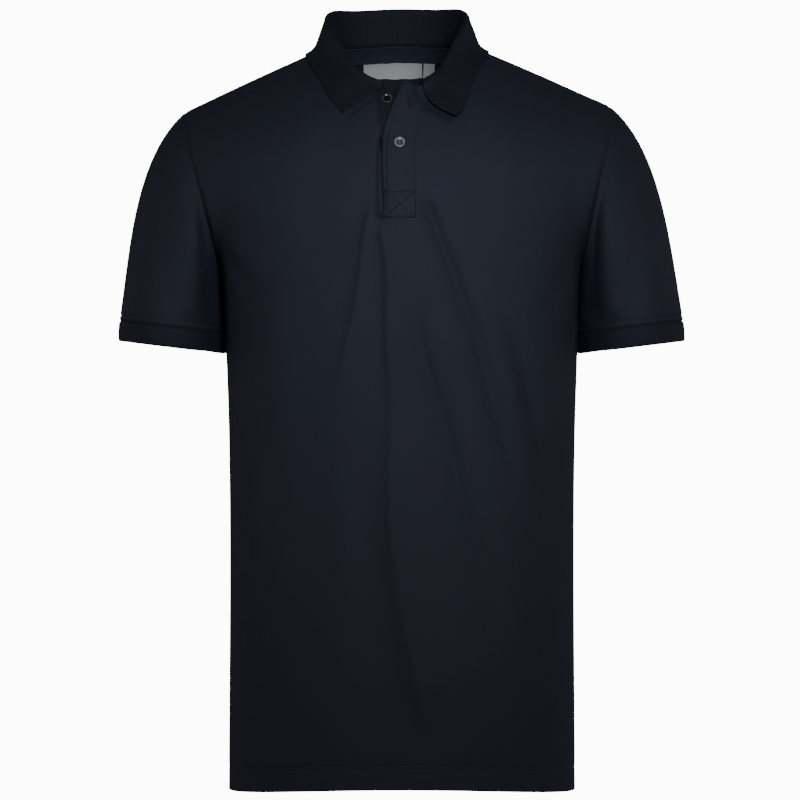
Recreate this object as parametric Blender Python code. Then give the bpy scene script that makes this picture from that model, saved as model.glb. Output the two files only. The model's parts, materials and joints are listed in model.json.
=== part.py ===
"""Men's short-sleeved polo shirt, filled out on a general figure with nobody in it.

The origin is the middle of the neck base, level with the tops of the shoulder seams. +Z is up, the
front faces -Y, and the wearer's left side is +X. Sizes below are in millimetres.

The torso is one smooth bag. Each of its columns is a spline up the front, over the shoulder ridge
and down the back, through the rows of TORSO_ROWS. Its sides end on the side seams up to the
underarm, and on the armholes above it. The neck hole is cut from it, and the sleeves, the bands of
the neck opening, the collar and the tape all start from its points.
"""

import math
from typing import NamedTuple

import bmesh
import bpy
import numpy as np
from mathutils import Vector
from mathutils.bvhtree import BVHTree

MM = 0.001
SEAM_GAP = 0.3
SWAY = 5.0
SWAY_FULL_DEPTH = 360.0
SHOULDER_TILT = 0.014

# Cloth thicknesses.
PIQUE = 1.4
RIB = 1.6
TAPE = 0.9
LABEL = 0.6
LAYER_GAP = 0.4
INNER_GAP = 0.7
TAPE_GAP = 1.5


class TorsoRow(NamedTuple):
    """One row round the torso. level is 0 at the hem and 1 on the shoulder ridge."""

    level: float
    front_y: float
    front_z: float
    back_y: float
    back_z: float
    squareness: float
    droop: float
    turn: float


TORSO_ROWS = (
    TorsoRow(0.00, -117, -758, 106, -774, 2.5, 2.0, 90),
    TorsoRow(0.17, -119, -616, 104, -628, 2.5, 2.0, 90),
    TorsoRow(0.34, -122, -478, 99, -484, 2.5, 2.0, 90),
    TorsoRow(0.50, -127, -345, 104, -350, 2.5, 2.0, 90),
    TorsoRow(0.62, -130, -248, 113, -248, 2.4, 2.0, 90),
    TorsoRow(0.70, -128, -188, 117, -196, 2.4, 1.9, 79),
    TorsoRow(0.78, -117, -126, 116, -140, 2.3, 1.7, 68),
    TorsoRow(0.86, -98, -76, 109, -76, 2.3, 1.5, 62),
    TorsoRow(0.93, -66, -28, 88, -11, 2.2, 1.2, 60),
    TorsoRow(1.00, 4, 22, 4, 22, 2.2, 1.0, 60),
)


class SideRow(NamedTuple):
    """A point of the side seam."""

    level: float
    x: float
    y: float
    z: float


SIDE_ROWS = (
    SideRow(0.00, 178.6, 0, -766),
    SideRow(0.17, 177.6, 0, -622),
    SideRow(0.34, 177.4, 0, -482),
    SideRow(0.50, 180.0, 0, -346),
    SideRow(0.62, 184.5, 2, -236),
)


class ArmholeRow(NamedTuple):
    """A level of the armhole seam, on the front and on the back."""

    level: float
    front_x: float
    front_y: float
    front_z: float
    back_x: float
    back_y: float
    back_z: float


ARMHOLE_ROWS = (
    ArmholeRow(0.62, 184.5, 2, -236, 184.5, 2, -236),
    ArmholeRow(0.70, 190.0, -42, -209, 189.0, 48, -213),
    ArmholeRow(0.78, 198.0, -60, -170, 194.0, 68, -172),
    ArmholeRow(0.86, 208.0, -55, -129, 202.0, 66, -128),
    ArmholeRow(0.93, 217.0, -33, -92, 213.0, 42, -90),
    ArmholeRow(1.00, 219.0, 3, -65.5, 219.0, 3, -65.5),
)
UNDERARM_LEVEL = 0.62
RIDGE_SOFTNESS = 0.15
NECK_HALF_WIDTH = 72.0
FRONT_NECK_LEVEL = 0.905
BACK_NECK_LEVEL = 0.953


class PlacketRow(NamedTuple):
    """A height on the neck opening: both edges of each band, and how far the top one's free edge lifts."""

    z: float
    under_left: float
    under_right: float
    upper_left: float
    upper_right: float
    lift: float


PLACKET_ROWS = (
    PlacketRow(-183, -17.0, 18.0, -17.5, 18.0, 0.0),
    PlacketRow(-155, -17.5, 17.5, -17.5, 18.0, 0.0),
    PlacketRow(-125, -18.5, 16.5, -17.5, 18.0, 0.5),
    PlacketRow(-106, -20.0, 15.0, -16.0, 19.5, 1.2),
    PlacketRow(-88, -22.0, 12.5, -11.5, 24.0, 2.5),
    PlacketRow(-73, -23.5, 10.5, -5.5, 29.5, 4.0),
    PlacketRow(-60, -24.5, 9.0, 0.5, 35.0, 5.5),
    PlacketRow(-50, -25.0, 8.0, 6.0, 40.0, 6.5),
)
PLACKET_OVERLAP = 2.5
LEFT_COLLAR_END_X = 23.0
RIGHT_COLLAR_END_X = -13.5


class CollarRow(NamedTuple):
    """A section of the collar, from the middle of the back at 0 to its front end at 1.

    stand is how high the roll is above the neck seam, and lean is how far out of it.
    """

    share: float
    stand: float
    lean: float
    edge_x: float
    edge_y: float
    edge_z: float


COLLAR_ROWS = (
    CollarRow(0.00, 36.5, 2.0, 0, 81, -6),
    CollarRow(0.22, 37.5, 2.0, 58, 65, -7),
    CollarRow(0.34, 36.5, 1.5, 80, 38, -9),
    CollarRow(0.44, 31.0, 0.5, 91, 8, -11),
    CollarRow(0.60, 25.0, -2.0, 89, -28, -25),
    CollarRow(0.78, 17.0, -4.0, 79, -58, -45),
    CollarRow(0.91, 8.5, 0.0, 67, -82, -63),
    CollarRow(1.00, 3.5, 4.5, 55, -99, -74.5),
)
COLLAR_ROLL_RADIUS = 2.8
FALL_HOLLOW = 1.2


class TipShift(NamedTuple):
    """How far a front end of the collar lies from the table's last row, and how far its edge bows forward."""

    out: float
    lift: float
    drop: float
    bow: float


LEFT_TIP = TipShift(5.5, 8.0, 5.5, 8.0)
RIGHT_TIP = TipShift(0.0, 1.0, 0.0, 1.5)


class SleeveEnd(NamedTuple):
    """The ring where a sleeve ends and its cuff begins."""

    x: float
    y: float
    z: float
    half_x: float
    half_y: float
    tilt: float


SLEEVE_END = SleeveEnd(238.5, 5, -290.5, 53.0, 61, 6.5)
CUFF_HEIGHT = 21.0
CUFF_TAPER = 0.975


class Label(NamedTuple):
    """A label inside the back of the neck. turn is in degrees."""

    left: float
    right: float
    top: float
    bottom: float
    turn: float


MAIN_LABEL = Label(-36.0, 26.6, -9.6, -25.6, 0.0)
SIZE_LABEL = Label(28.0, 40.0, -10.6, -25.8, -4.0)
TAPE_WIDTH = 24.0
TAPE_LEVEL_PER_MM = 0.00085


class Button(NamedTuple):
    """Where a button sits on the front."""

    x: float
    z: float


UPPER_BUTTON = Button(-10.5, -61.5)
LOWER_BUTTON = Button(1.0, -108.5)
BUTTON_DIAMETER = 11.0
BUTTON_THICKNESS = 2.4
BUTTON_HOLE = 1.5
BUTTON_HOLE_SPACING = 1.5
BUTTON_SEGMENTS = 24
HOLE_SEGMENTS = 8


class Fold(NamedTuple):
    """A soft fold that runs down a panel, through three points. height is how far its crest stands out."""

    x_top: float
    z_top: float
    x_mid: float
    z_mid: float
    x_low: float
    z_low: float
    width_top: float
    width_low: float
    height: float


FRONT_FOLDS = (
    Fold(-28, -171, -45, -266, -74, -376, 7, 9, 2.5),
    Fold(-20, -190, -13, -300, -10, -440, 8, 14, 3.0),
    Fold(-12, -366, -5, -540, 28, -705, 20, 26, 4.5),
    Fold(8, -236, 36, -366, 108, -616, 12, 17, -3.0),
    Fold(22, -160, 64, -272, 140, -496, 9, 13, -4.0),
    Fold(99, -266, 139, -396, 153, -520, 12, 12, -4.0),
    Fold(-138, -400, -149, -540, -163, -656, 9, 10, 3.0),
    Fold(-100, -240, -96, -400, -104, -720, 38, 40, -3.0),
    Fold(-62, -420, -58, -560, -60, -700, 22, 24, 1.5),
    Fold(60, -600, 66, -680, 64, -748, 24, 30, 2.0),
    Fold(124, -560, 128, -640, 122, -745, 18, 22, -1.8),
)
BACK_FOLDS = (
    Fold(-120, -190, -104, -420, -92, -700, 22, 40, -4.5),
    Fold(-76, -260, -58, -470, -50, -740, 18, 34, 3.5),
    Fold(-12, -240, 2, -460, -6, -730, 22, 34, -4.5),
    Fold(50, -250, 44, -480, 52, -740, 20, 32, 3.5),
    Fold(118, -200, 104, -430, 108, -700, 22, 38, -5.0),
    Fold(150, -330, 152, -450, 148, -640, 16, 22, 2.5),
    Fold(-154, -360, -152, -480, -156, -650, 16, 22, 2.5),
)

# The grids of the panels.
NECK_COLUMNS = 6
SHOULDER_COLUMNS = 13
BODY_ROWS = 17
ARMHOLE_STEPS = 12
SLOT_BOTTOM_STEP = 5
SLEEVE_RINGS = 11
COLLAR_COLUMNS = 21
COLLAR_BEND_END = 7
FALL_CLEARANCES = (3.2, 2.4, 1.4, 1.0, 1.0)
PLACKET_STEPS = 14
EDGE_CALM = 0.1
UNDERARM_CALM_ROWS = 3.5
UNDERARM_CALM_PASSES = 14


def natural_spline(knots, table, at):
    """Natural cubic spline through the rows of a table, taken at an array of places."""
    knots = np.asarray(knots, dtype=float)
    table = np.asarray(table, dtype=float)
    gaps = np.diff(knots)
    count = len(knots)
    system = np.eye(count)
    target = np.zeros_like(table)
    for i in range(1, count - 1):
        system[i, i - 1] = gaps[i - 1]
        system[i, i] = 2.0 * (gaps[i - 1] + gaps[i])
        system[i, i + 1] = gaps[i]
        rise = (table[i + 1] - table[i]) / gaps[i]
        before = (table[i] - table[i - 1]) / gaps[i - 1]
        target[i] = 6.0 * (rise - before)
    bend = np.linalg.solve(system, target)
    at = np.asarray(at, dtype=float)
    cell = np.clip(np.searchsorted(knots, at) - 1, 0, count - 2)
    gap = gaps[cell]
    after = (at - knots[cell]) / gap
    ahead = 1.0 - after
    if table.ndim > 1:
        gap = gap[..., None]
        after = after[..., None]
        ahead = ahead[..., None]
    curve = (ahead ** 3 - ahead) * bend[cell] + (after ** 3 - after) * bend[cell + 1]
    return ahead * table[cell] + after * table[cell + 1] + gap * gap * curve / 6.0


def torso_knots():
    """Levels and middle points of the strip that runs up the front and down the back."""
    levels = [row.level for row in TORSO_ROWS]
    middles = [(row.front_y, row.front_z) for row in TORSO_ROWS]
    for row in reversed(TORSO_ROWS[:-1]):
        levels.append(2.0 - row.level)
        middles.append((row.back_y, row.back_z))
    return levels, middles


def armhole_knots():
    """Levels and points of the armhole seam, from the underarm over the shoulder and down again."""
    levels = [row.level for row in ARMHOLE_ROWS]
    points = [(row.front_x, row.front_y, row.front_z) for row in ARMHOLE_ROWS]
    for row in reversed(ARMHOLE_ROWS[:-1]):
        levels.append(2.0 - row.level)
        points.append((row.back_x, row.back_y, row.back_z))
    return levels, points


def side_points(level):
    """Outer ends of the torso's rows: the side seam below the underarm, the armhole above it."""
    folded = np.minimum(level, 2.0 - level)
    side_levels = [row.level for row in SIDE_ROWS]
    seam = natural_spline(side_levels, [(row.x, row.y, row.z) for row in SIDE_ROWS], folded)
    armhole_levels, armhole_table = armhole_knots()
    armhole = natural_spline(armhole_levels, armhole_table, level)
    return np.where((folded <= UNDERARM_LEVEL)[..., None], seam, armhole)


def row_settings(level):
    """Squareness, droop and end angle of the rows at these levels."""
    folded = np.minimum(level, 2.0 - level)
    table = [(row.squareness, row.droop, row.turn) for row in TORSO_ROWS]
    values = natural_spline([row.level for row in TORSO_ROWS], table, folded)
    return values[..., 0], values[..., 1], np.radians(np.minimum(values[..., 2], 90.0))


def torso_point(across, level):
    """Point of the torso bag. across is -1 and 1 on the side seams and the armholes."""
    across, level = np.broadcast_arrays(np.asarray(across, float), np.asarray(level, float))
    levels, middles = torso_knots()
    middle = natural_spline(levels, middles, level)
    side = side_points(level)
    square, droop, turn = row_settings(level)
    sine = np.sin(np.abs(across) * turn)
    share = np.clip(sine / np.sin(turn), 0.0, 1.0)
    bulge = np.maximum(1.0 - sine ** square, 0.0) ** (1.0 / square)
    bulge_end = np.maximum(1.0 - np.sin(turn) ** square, 0.0) ** (1.0 / square)
    depth = np.clip((bulge - bulge_end) / (1.0 - bulge_end), 0.0, 1.0)
    x = np.sign(across) * side[..., 0] * share
    y = side[..., 1] + (middle[..., 0] - side[..., 1]) * depth
    soft = RIDGE_SOFTNESS ** droop
    fall = ((share * share + RIDGE_SOFTNESS ** 2) ** (0.5 * droop) - soft) / (
        (1.0 + RIDGE_SOFTNESS ** 2) ** (0.5 * droop) - soft
    )
    z = middle[..., 1] + (side[..., 2] - middle[..., 1]) * fall
    return np.stack((x, y, z), axis=-1)


def across_at(x, level):
    """How far across a row a given x lies."""
    level = np.asarray(level, dtype=float)
    side = side_points(level)
    turn = row_settings(level)[2]
    sine = np.clip(np.abs(x) / side[..., 0], 0.0, 1.0) * np.sin(turn)
    return np.sign(x) * np.arcsin(sine) / turn


def place_on_torso(x, z, back=False):
    """Across and level of the torso point that has this x and z."""
    x, z = np.broadcast_arrays(np.asarray(x, float), np.asarray(z, float))
    low = np.full(x.shape, 0.05)
    high = np.full(x.shape, 0.995)
    for _ in range(40):
        folded = 0.5 * (low + high)
        level = 2.0 - folded if back else folded
        height = torso_point(across_at(x, level), level)[..., 2]
        low = np.where(height < z, folded, low)
        high = np.where(height < z, high, folded)
    level = 2.0 - low if back else low
    return across_at(x, level), level


NECK_ACROSS = float(across_at(NECK_HALF_WIDTH, 1.0))


def neck_level(across, middle_level):
    """Level of the neck hole's edge, from its middle out to the shoulder ridge."""
    share = np.clip(np.abs(across) / NECK_ACROSS, 0.0, 1.0)
    return 1.0 - (1.0 - middle_level) * np.sqrt(1.0 - share * share)


def smooth_share(value):
    """0 to 1 with soft ends."""
    value = np.clip(value, 0.0, 1.0)
    return value * value * (3.0 - 2.0 * value)


def fold_height(points, folds):
    """How far the folds lift each point along its normal."""
    x = points[..., 0]
    z = points[..., 2]
    lift = np.zeros(x.shape)
    for fold in folds:
        along = (fold.z_top - z) / (fold.z_top - fold.z_low)
        middle = (fold.z_top - fold.z_mid) / (fold.z_top - fold.z_low)
        path = (
            fold.x_top * (along - middle) * (along - 1.0) / middle
            + fold.x_mid * along * (along - 1.0) / (middle * (middle - 1.0))
            + fold.x_low * along * (along - middle) / (1.0 - middle)
        )
        width = fold.width_top + (fold.width_low - fold.width_top) * np.clip(along, 0.0, 1.0)
        slope = (fold.x_low - fold.x_top) / (fold.z_top - fold.z_low)
        distance = (x - path) / math.sqrt(1.0 + slope * slope)
        ends = smooth_share(along / 0.22 + 0.3) * smooth_share((1.0 - along) / 0.3 + 0.1)
        lift += fold.height * ends * np.exp(-((distance / width) ** 2))
    return lift


def unit(vectors):
    """Vectors of length one."""
    length = np.linalg.norm(vectors, axis=-1, keepdims=True)
    return vectors / np.maximum(length, 1e-9)


def tangents_along(points):
    """Directions along the first axis of a grid, halfway between the steps on either side."""
    steps = unit(np.diff(points, axis=0))
    return unit(np.concatenate((steps[:1], steps[1:] + steps[:-1], steps[-1:]), axis=0))


def grid_normals(points, closed=False):
    """Normals of a grid of points whose rows go up and whose columns go to the right, seen from outside."""
    turned = np.swapaxes(points, 0, 1)
    if closed:
        turned = np.concatenate((turned[-1:], turned, turned[:1]), axis=0)
    right = np.swapaxes(tangents_along(turned), 0, 1)
    if closed:
        right = right[:, 1:-1]
    return unit(np.cross(right, tangents_along(points)))


def calm_underarm(points, across):
    """Softens the bend that the armhole's corner leaves along the underarm row. The edges stay."""
    wide = np.abs(across)
    weight = smooth_share((1.0 - wide) / 0.2) * smooth_share((wide - 0.1) / 0.3)
    rows = np.arange(points.shape[0])[:, None]
    weight = (weight * np.exp(-(((rows - BODY_ROWS) / UNDERARM_CALM_ROWS) ** 2)))[..., None]
    for _ in range(UNDERARM_CALM_PASSES):
        middle = 0.5 * (points[2:] + points[:-2])
        points[1:-1] += 0.5 * weight[1:-1] * (middle - points[1:-1])
    return points


def folded_torso(across, level, folds):
    """Torso points moved out along their normals by the folds. The grid's rows run up in level."""
    points = torso_point(across, level)
    calm = smooth_share((1.0 - np.abs(across)) / EDGE_CALM)
    return points + grid_normals(points) * (fold_height(points, folds) * calm)[..., None]


def slot_edges(z):
    """Where the front is cut for the bands of the neck opening, left and right of its middle."""
    heights = [row.z for row in PLACKET_ROWS]
    table = [(row.under_left, row.upper_right) for row in PLACKET_ROWS]
    edges = natural_spline(heights, table, np.clip(z, heights[0], heights[-1]))
    return edges[..., 0] + PLACKET_OVERLAP, edges[..., 1] - PLACKET_OVERLAP


def row_steps():
    """Share of the way from the underarm to the top edge, for every row. It is negative below."""
    below = np.linspace(-1.0, 0.0, BODY_ROWS + 1)[:-1]
    above = np.linspace(0.0, 1.0, ARMHOLE_STEPS + 1)
    return np.concatenate((below, above))


def column_levels(steps, top_level):
    """Levels of one column's points."""
    upper = UNDERARM_LEVEL + (top_level - UNDERARM_LEVEL) * steps
    return np.where(steps < 0.0, UNDERARM_LEVEL * (1.0 + steps), upper)


def front_grid():
    """Across and level of the front's points, and which of its cells are cloth."""
    steps = row_steps()
    middle_levels = column_levels(steps, FRONT_NECK_LEVEL)
    middle_z = torso_point(0.0, middle_levels)[:, 2]
    slot_row = BODY_ROWS + SLOT_BOTTOM_STEP
    slot_z = np.maximum(middle_z, middle_z[slot_row])
    across_halves = []
    level_halves = []
    for side, edge_x in zip((-1.0, 1.0), slot_edges(slot_z)):
        slot = np.abs(across_at(edge_x, middle_levels))
        across_columns = []
        level_columns = []
        for k in range(NECK_COLUMNS + 1):
            share = math.sin(math.radians(90.0 * k / NECK_COLUMNS))
            across = slot + (NECK_ACROSS - slot) * share
            across_columns.append(side * across)
            level_columns.append(column_levels(steps, neck_level(across[-1], FRONT_NECK_LEVEL)))
        for k in range(1, SHOULDER_COLUMNS + 1):
            across = NECK_ACROSS + (1.0 - NECK_ACROSS) * k / SHOULDER_COLUMNS
            across_columns.append(np.full(steps.shape, side * across))
            level_columns.append(column_levels(steps, 1.0))
        across_halves.append(across_columns)
        level_halves.append(level_columns)
    middle = [np.zeros(steps.shape)]
    across = np.stack(across_halves[0][::-1] + middle + across_halves[1], axis=1)
    level = np.stack(level_halves[0][::-1] + [middle_levels] + level_halves[1], axis=1)
    keep = np.ones((len(steps) - 1, across.shape[1] - 1), dtype=bool)
    centre = NECK_COLUMNS + 1 + SHOULDER_COLUMNS
    keep[slot_row:, centre - 1 : centre + 1] = False
    return across, level, keep


def back_grid():
    """Across and level of the back's points, from the wearer's left to the right."""
    steps = row_steps()
    columns = []
    for k in range(SHOULDER_COLUMNS):
        across = 1.0 - (1.0 - NECK_ACROSS) * k / SHOULDER_COLUMNS
        columns.append((across, 1.0))
    for k in range(NECK_COLUMNS, -1, -1):
        across = NECK_ACROSS * math.sin(math.radians(90.0 * k / NECK_COLUMNS))
        columns.append((across, float(neck_level(across, BACK_NECK_LEVEL))))
    columns += [(-across, top) for across, top in columns[-2::-1]]
    across = np.stack([np.full(steps.shape, across) for across, top in columns], axis=1)
    level = np.stack([2.0 - column_levels(steps, top) for across, top in columns], axis=1)
    return across, level


def sleeve_grid(loop):
    """The left sleeve's points: rings from the cuff, row 0, up to the armhole."""
    closed = np.concatenate((loop, loop[:1]))
    lengths = np.linalg.norm(np.diff(closed, axis=0), axis=1)
    share = np.concatenate(([0.0], np.cumsum(lengths)[:-1])) / lengths.sum()
    angle = math.pi + 2.0 * math.pi * share
    outward = np.cos(angle)
    forward = np.sin(angle)
    end = SLEEVE_END
    ring = np.stack(
        (
            end.x + end.half_x * outward,
            end.y + end.half_y * forward,
            end.z + end.tilt * outward,
        ),
        axis=1,
    )
    reach = np.linalg.norm(ring - loop, axis=1, keepdims=True)
    leave = np.stack((0.42 + 0.30 * outward, 0.34 * forward, -0.80 + 0.20 * outward), axis=1) * reach
    arrive = np.stack((0.09 + 0.08 * outward, 0.02 * forward, -np.ones(share.shape)), axis=1) * reach * 0.9
    rows = []
    for k in range(SLEEVE_RINGS + 1):
        v = 1.0 - k / SLEEVE_RINGS
        v2 = v * v
        v3 = v2 * v
        rows.append(
            (2.0 * v3 - 3.0 * v2 + 1.0) * loop
            + (v3 - 2.0 * v2 + v) * leave
            + (3.0 * v2 - 2.0 * v3) * ring
            + (v3 - v2) * arrive
        )
    return np.stack(rows, axis=0), outward


def mirror_x(points):
    """The same points on the wearer's other side."""
    return points * np.array((-1.0, 1.0, 1.0))


def add_piece(name, vertices, faces, colour, roughness):
    """A mesh object of its own material, from points in millimetres."""
    mesh = bpy.data.meshes.new(name)
    scaled = np.array(vertices, dtype=float)
    tilt = SHOULDER_TILT * smooth_share((scaled[:, 2] + 300.0) / 220.0)
    scaled[:, 0] += SWAY * smooth_share(-scaled[:, 2] / SWAY_FULL_DEPTH)
    scaled[:, 2] += tilt * scaled[:, 0]
    mesh.from_pydata((scaled * MM).tolist(), [], faces)
    work = bmesh.new()
    work.from_mesh(mesh)
    bmesh.ops.triangulate(work, faces=work.faces[:], quad_method="SHORT_EDGE")
    work.to_mesh(mesh)
    work.free()
    mesh.validate()
    material = bpy.data.materials.new(name)
    material.use_nodes = True
    principled = material.node_tree.nodes["Principled BSDF"]
    principled.inputs["Base Color"].default_value = (*colour, 1.0)
    principled.inputs["Roughness"].default_value = roughness
    mesh.materials.append(material)
    piece = bpy.data.objects.new(name, mesh)
    SHIRT.objects.link(piece)
    return piece


def add_shell(name, outer, normals, thickness, colour, roughness, keep=None, closed=False):
    """A wall of cloth: a grid of outer points, the same points moved in, and a rim round every edge."""
    rows, columns = outer.shape[:2]
    inner = outer - normals * thickness
    spans = columns if closed else columns - 1
    front_faces = []
    for r in range(rows - 1):
        for c in range(spans):
            if keep is None or keep[r, c]:
                after = (c + 1) % columns
                front_faces.append((r * columns + c, r * columns + after, (r + 1) * columns + after, (r + 1) * columns + c))
    directed = set()
    for face in front_faces:
        for k in range(4):
            directed.add((face[k], face[(k + 1) % 4]))
    used = sorted({index for face in front_faces for index in face})
    number = {index: k for k, index in enumerate(used)}
    shift = len(used)
    faces = []
    for face in front_faces:
        faces.append([number[index] for index in face])
        faces.append([number[index] + shift for index in reversed(face)])
    for start, stop in sorted(directed):
        if (stop, start) not in directed:
            a = number[start]
            b = number[stop]
            faces.append([b, a, a + shift, b + shift])
    flat_outer = outer.reshape(-1, 3)[used]
    flat_inner = inner.reshape(-1, 3)[used]
    return add_piece(name, np.concatenate((flat_outer, flat_inner)), faces, colour, roughness)


def facets(grid):
    """A search tree of a panel's own flat facets."""
    rows, columns = grid.shape[:2]
    cells = []
    for r in range(rows - 1):
        for c in range(columns - 1):
            first = r * columns + c
            cells.append((first, first + 1, first + columns + 1, first + columns))
    return BVHTree.FromPolygons([Vector(point) for point in grid.reshape(-1, 3)], cells)


def settle(points, tree):
    """Moves points onto the facets of a panel."""
    flat = points.reshape(-1, 3)
    nearest = [tuple(tree.find_nearest(Vector(point))[0]) for point in flat]
    return np.array(nearest).reshape(points.shape)


def push_clear(points, samples, sample_normals, distance):
    """Moves points out of a sampled surface until they are this far off it, each by its own distance."""
    flat = points.reshape(-1, 3)
    gaps = flat[:, None, :] - samples[None, :, :]
    nearest = np.argmin((gaps ** 2).sum(axis=2), axis=1)
    normals = sample_normals[nearest]
    height = ((flat - samples[nearest]) * normals).sum(axis=1)
    short = np.maximum(distance - height, 0.0)
    return (flat + normals * short[:, None]).reshape(points.shape)


def seam_tangents(line, closed=False):
    """Unit directions along a seam line."""
    if closed:
        return unit(np.roll(line, -1, axis=0) - np.roll(line, 1, axis=0))
    return unit(np.gradient(line, axis=0))


def toward(direction, target):
    """The directions, each turned to the side that its target is on."""
    sign = np.sign((direction * target).sum(axis=-1, keepdims=True))
    return direction * np.where(sign == 0.0, 1.0, sign)


NAVY = (0.018, 0.024, 0.042)
NAVY_RIB = (0.015, 0.020, 0.036)
GREY_LILAC = (0.30, 0.30, 0.36)
DARK_BUTTON = (0.02, 0.02, 0.03)
LABEL_WHITE = (0.62, 0.63, 0.66)

for leftover in list(bpy.data.objects):
    bpy.data.objects.remove(leftover, do_unlink=True)
SHIRT = bpy.data.collections.new("polo_shirt")
bpy.context.scene.collection.children.link(SHIRT)

# Front, back and left sleeve before their seams are opened.
front_across, front_level, front_keep = front_grid()
back_across, back_level = back_grid()
front = calm_underarm(folded_torso(front_across, front_level, FRONT_FOLDS), front_across)
back = calm_underarm(folded_torso(back_across, back_level, BACK_FOLDS), back_across)
front_normals = grid_normals(front)
back_normals = grid_normals(back)
loop = np.concatenate((front[BODY_ROWS:, -1], back[-2:BODY_ROWS:-1, 0]))
sleeve, ring_outward = sleeve_grid(loop)
sleeve_normals = grid_normals(sleeve, closed=True)

# Both sides of a seam share their normals, and each is drawn back by half the gap.
half_gap = 0.5 * SEAM_GAP
forward = np.array((0.0, -1.0, 0.0))
for front_column, back_column in ((-1, 0), (0, -1)):
    rows = slice(0, BODY_ROWS + 1)
    shared = unit(front_normals[rows, front_column] + back_normals[rows, back_column])
    front_normals[rows, front_column] = shared
    back_normals[rows, back_column] = shared
for front_columns, back_columns in (
    (slice(-1, -SHOULDER_COLUMNS - 2, -1), slice(0, SHOULDER_COLUMNS + 1)),
    (slice(0, SHOULDER_COLUMNS + 1), slice(-1, -SHOULDER_COLUMNS - 2, -1)),
):
    shared = unit(front_normals[-1, front_columns] + back_normals[-1, back_columns])
    front_normals[-1, front_columns] = shared
    back_normals[-1, back_columns] = shared

body_side = np.concatenate((front_normals[BODY_ROWS:, -1], back_normals[-2:BODY_ROWS:-1, 0]))
tangents = seam_tangents(loop, closed=True)
radial = (loop - loop.mean(axis=0)) * np.array((0.0, 1.0, 1.0))
radial = unit(radial - tangents * (radial * tangents).sum(axis=1, keepdims=True))
loop_normals = unit(body_side + sleeve_normals[-1] + radial)
across_seam = toward(unit(np.cross(tangents, loop_normals)), np.array((1.0, 0.0, 0.0)))
sleeve[-1] += across_seam * half_gap
sleeve_normals[-1] = loop_normals
front_count = ARMHOLE_STEPS + 1
for side, column, back_column in ((1.0, -1, 0), (-1.0, 0, -1)):
    flip = np.array((side, 1.0, 1.0))
    drawn = across_seam * half_gap * flip
    front[BODY_ROWS:, column] -= drawn[:front_count]
    front_normals[BODY_ROWS:, column] = loop_normals[:front_count] * flip
    order = np.concatenate((np.arange(2 * ARMHOLE_STEPS, ARMHOLE_STEPS, -1) % len(loop), [ARMHOLE_STEPS]))
    back[BODY_ROWS:, back_column] -= drawn[order]
    back_normals[BODY_ROWS:, back_column] = loop_normals[order] * flip
    front[: BODY_ROWS + 1, column] += forward * half_gap
    back[: BODY_ROWS + 1, back_column] -= forward * half_gap
front[-1, : SHOULDER_COLUMNS + 1] += forward * half_gap
front[-1, -SHOULDER_COLUMNS - 1 :] += forward * half_gap
back[-1, : SHOULDER_COLUMNS + 1] -= forward * half_gap
back[-1, -SHOULDER_COLUMNS - 1 :] -= forward * half_gap

front_facets = facets(front)
back_facets = facets(back)
add_shell("front", front, front_normals, PIQUE, NAVY, 0.9, keep=front_keep)
add_shell("back", back, back_normals, PIQUE, NAVY, 0.9)

# Sleeves and their ribbed cuffs.
end_tilt = math.atan2(SLEEVE_END.tilt, SLEEVE_END.half_x)
cuff_down = np.array((math.sin(end_tilt), 0.0, -math.cos(end_tilt)))
end_centre = np.array((SLEEVE_END.x, SLEEVE_END.y, SLEEVE_END.z))
cuff_top = sleeve[0] + cuff_down * half_gap
cuff_low = end_centre + (cuff_top - end_centre) * CUFF_TAPER + cuff_down * CUFF_HEIGHT
cuff = np.stack([cuff_low + (cuff_top - cuff_low) * share for share in (0.0, 0.5, 1.0)], axis=0)
cuff_normals = grid_normals(cuff, closed=True)
sleeve[0] -= cuff_down * half_gap
sleeve_normals[0] = cuff_normals[-1]
add_shell("sleeve_left", sleeve, sleeve_normals, PIQUE, NAVY, 0.9, closed=True)
add_shell("cuff_left", cuff, cuff_normals, RIB, NAVY_RIB, 0.9, closed=True)
add_shell(
    "sleeve_right",
    mirror_x(sleeve)[:, ::-1],
    mirror_x(sleeve_normals)[:, ::-1],
    PIQUE,
    NAVY,
    0.9,
    closed=True,
)
add_shell(
    "cuff_right",
    mirror_x(cuff)[:, ::-1],
    mirror_x(cuff_normals)[:, ::-1],
    RIB,
    NAVY_RIB,
    0.9,
    closed=True,
)


def placket_grid(left_field, right_field, columns, drop_under_collar):
    """Outer points and normals of the front under a band of the neck opening."""
    heights = [row.z for row in PLACKET_ROWS]
    table = [(getattr(row, left_field), getattr(row, right_field), row.lift) for row in PLACKET_ROWS]
    grid_x = []
    grid_z = []
    for c in range(columns):
        share = c / (columns - 1)
        top_edges = natural_spline(heights, table, heights[-1])
        top_x = top_edges[0] + (top_edges[1] - top_edges[0]) * share
        top_across = float(across_at(top_x, FRONT_NECK_LEVEL))
        drop = 1.0 + drop_under_collar * float(smooth_share((top_x - LEFT_COLLAR_END_X + 5.0) / 5.0))
        top_z = float(torso_point(top_across, neck_level(top_across, FRONT_NECK_LEVEL))[2]) - drop
        z = heights[0] + (top_z - heights[0]) * np.linspace(0.0, 1.0, PLACKET_STEPS + 1)
        edges = natural_spline(heights, table, np.clip(z, heights[0], heights[-1]))
        grid_x.append(edges[:, 0] + (edges[:, 1] - edges[:, 0]) * share)
        grid_z.append(z)
    lift = edges[:, 2]
    across, level = place_on_torso(np.stack(grid_x, axis=1), np.stack(grid_z, axis=1))
    points = settle(folded_torso(across, level, FRONT_FOLDS), front_facets)
    return points, grid_normals(points), lift


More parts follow.
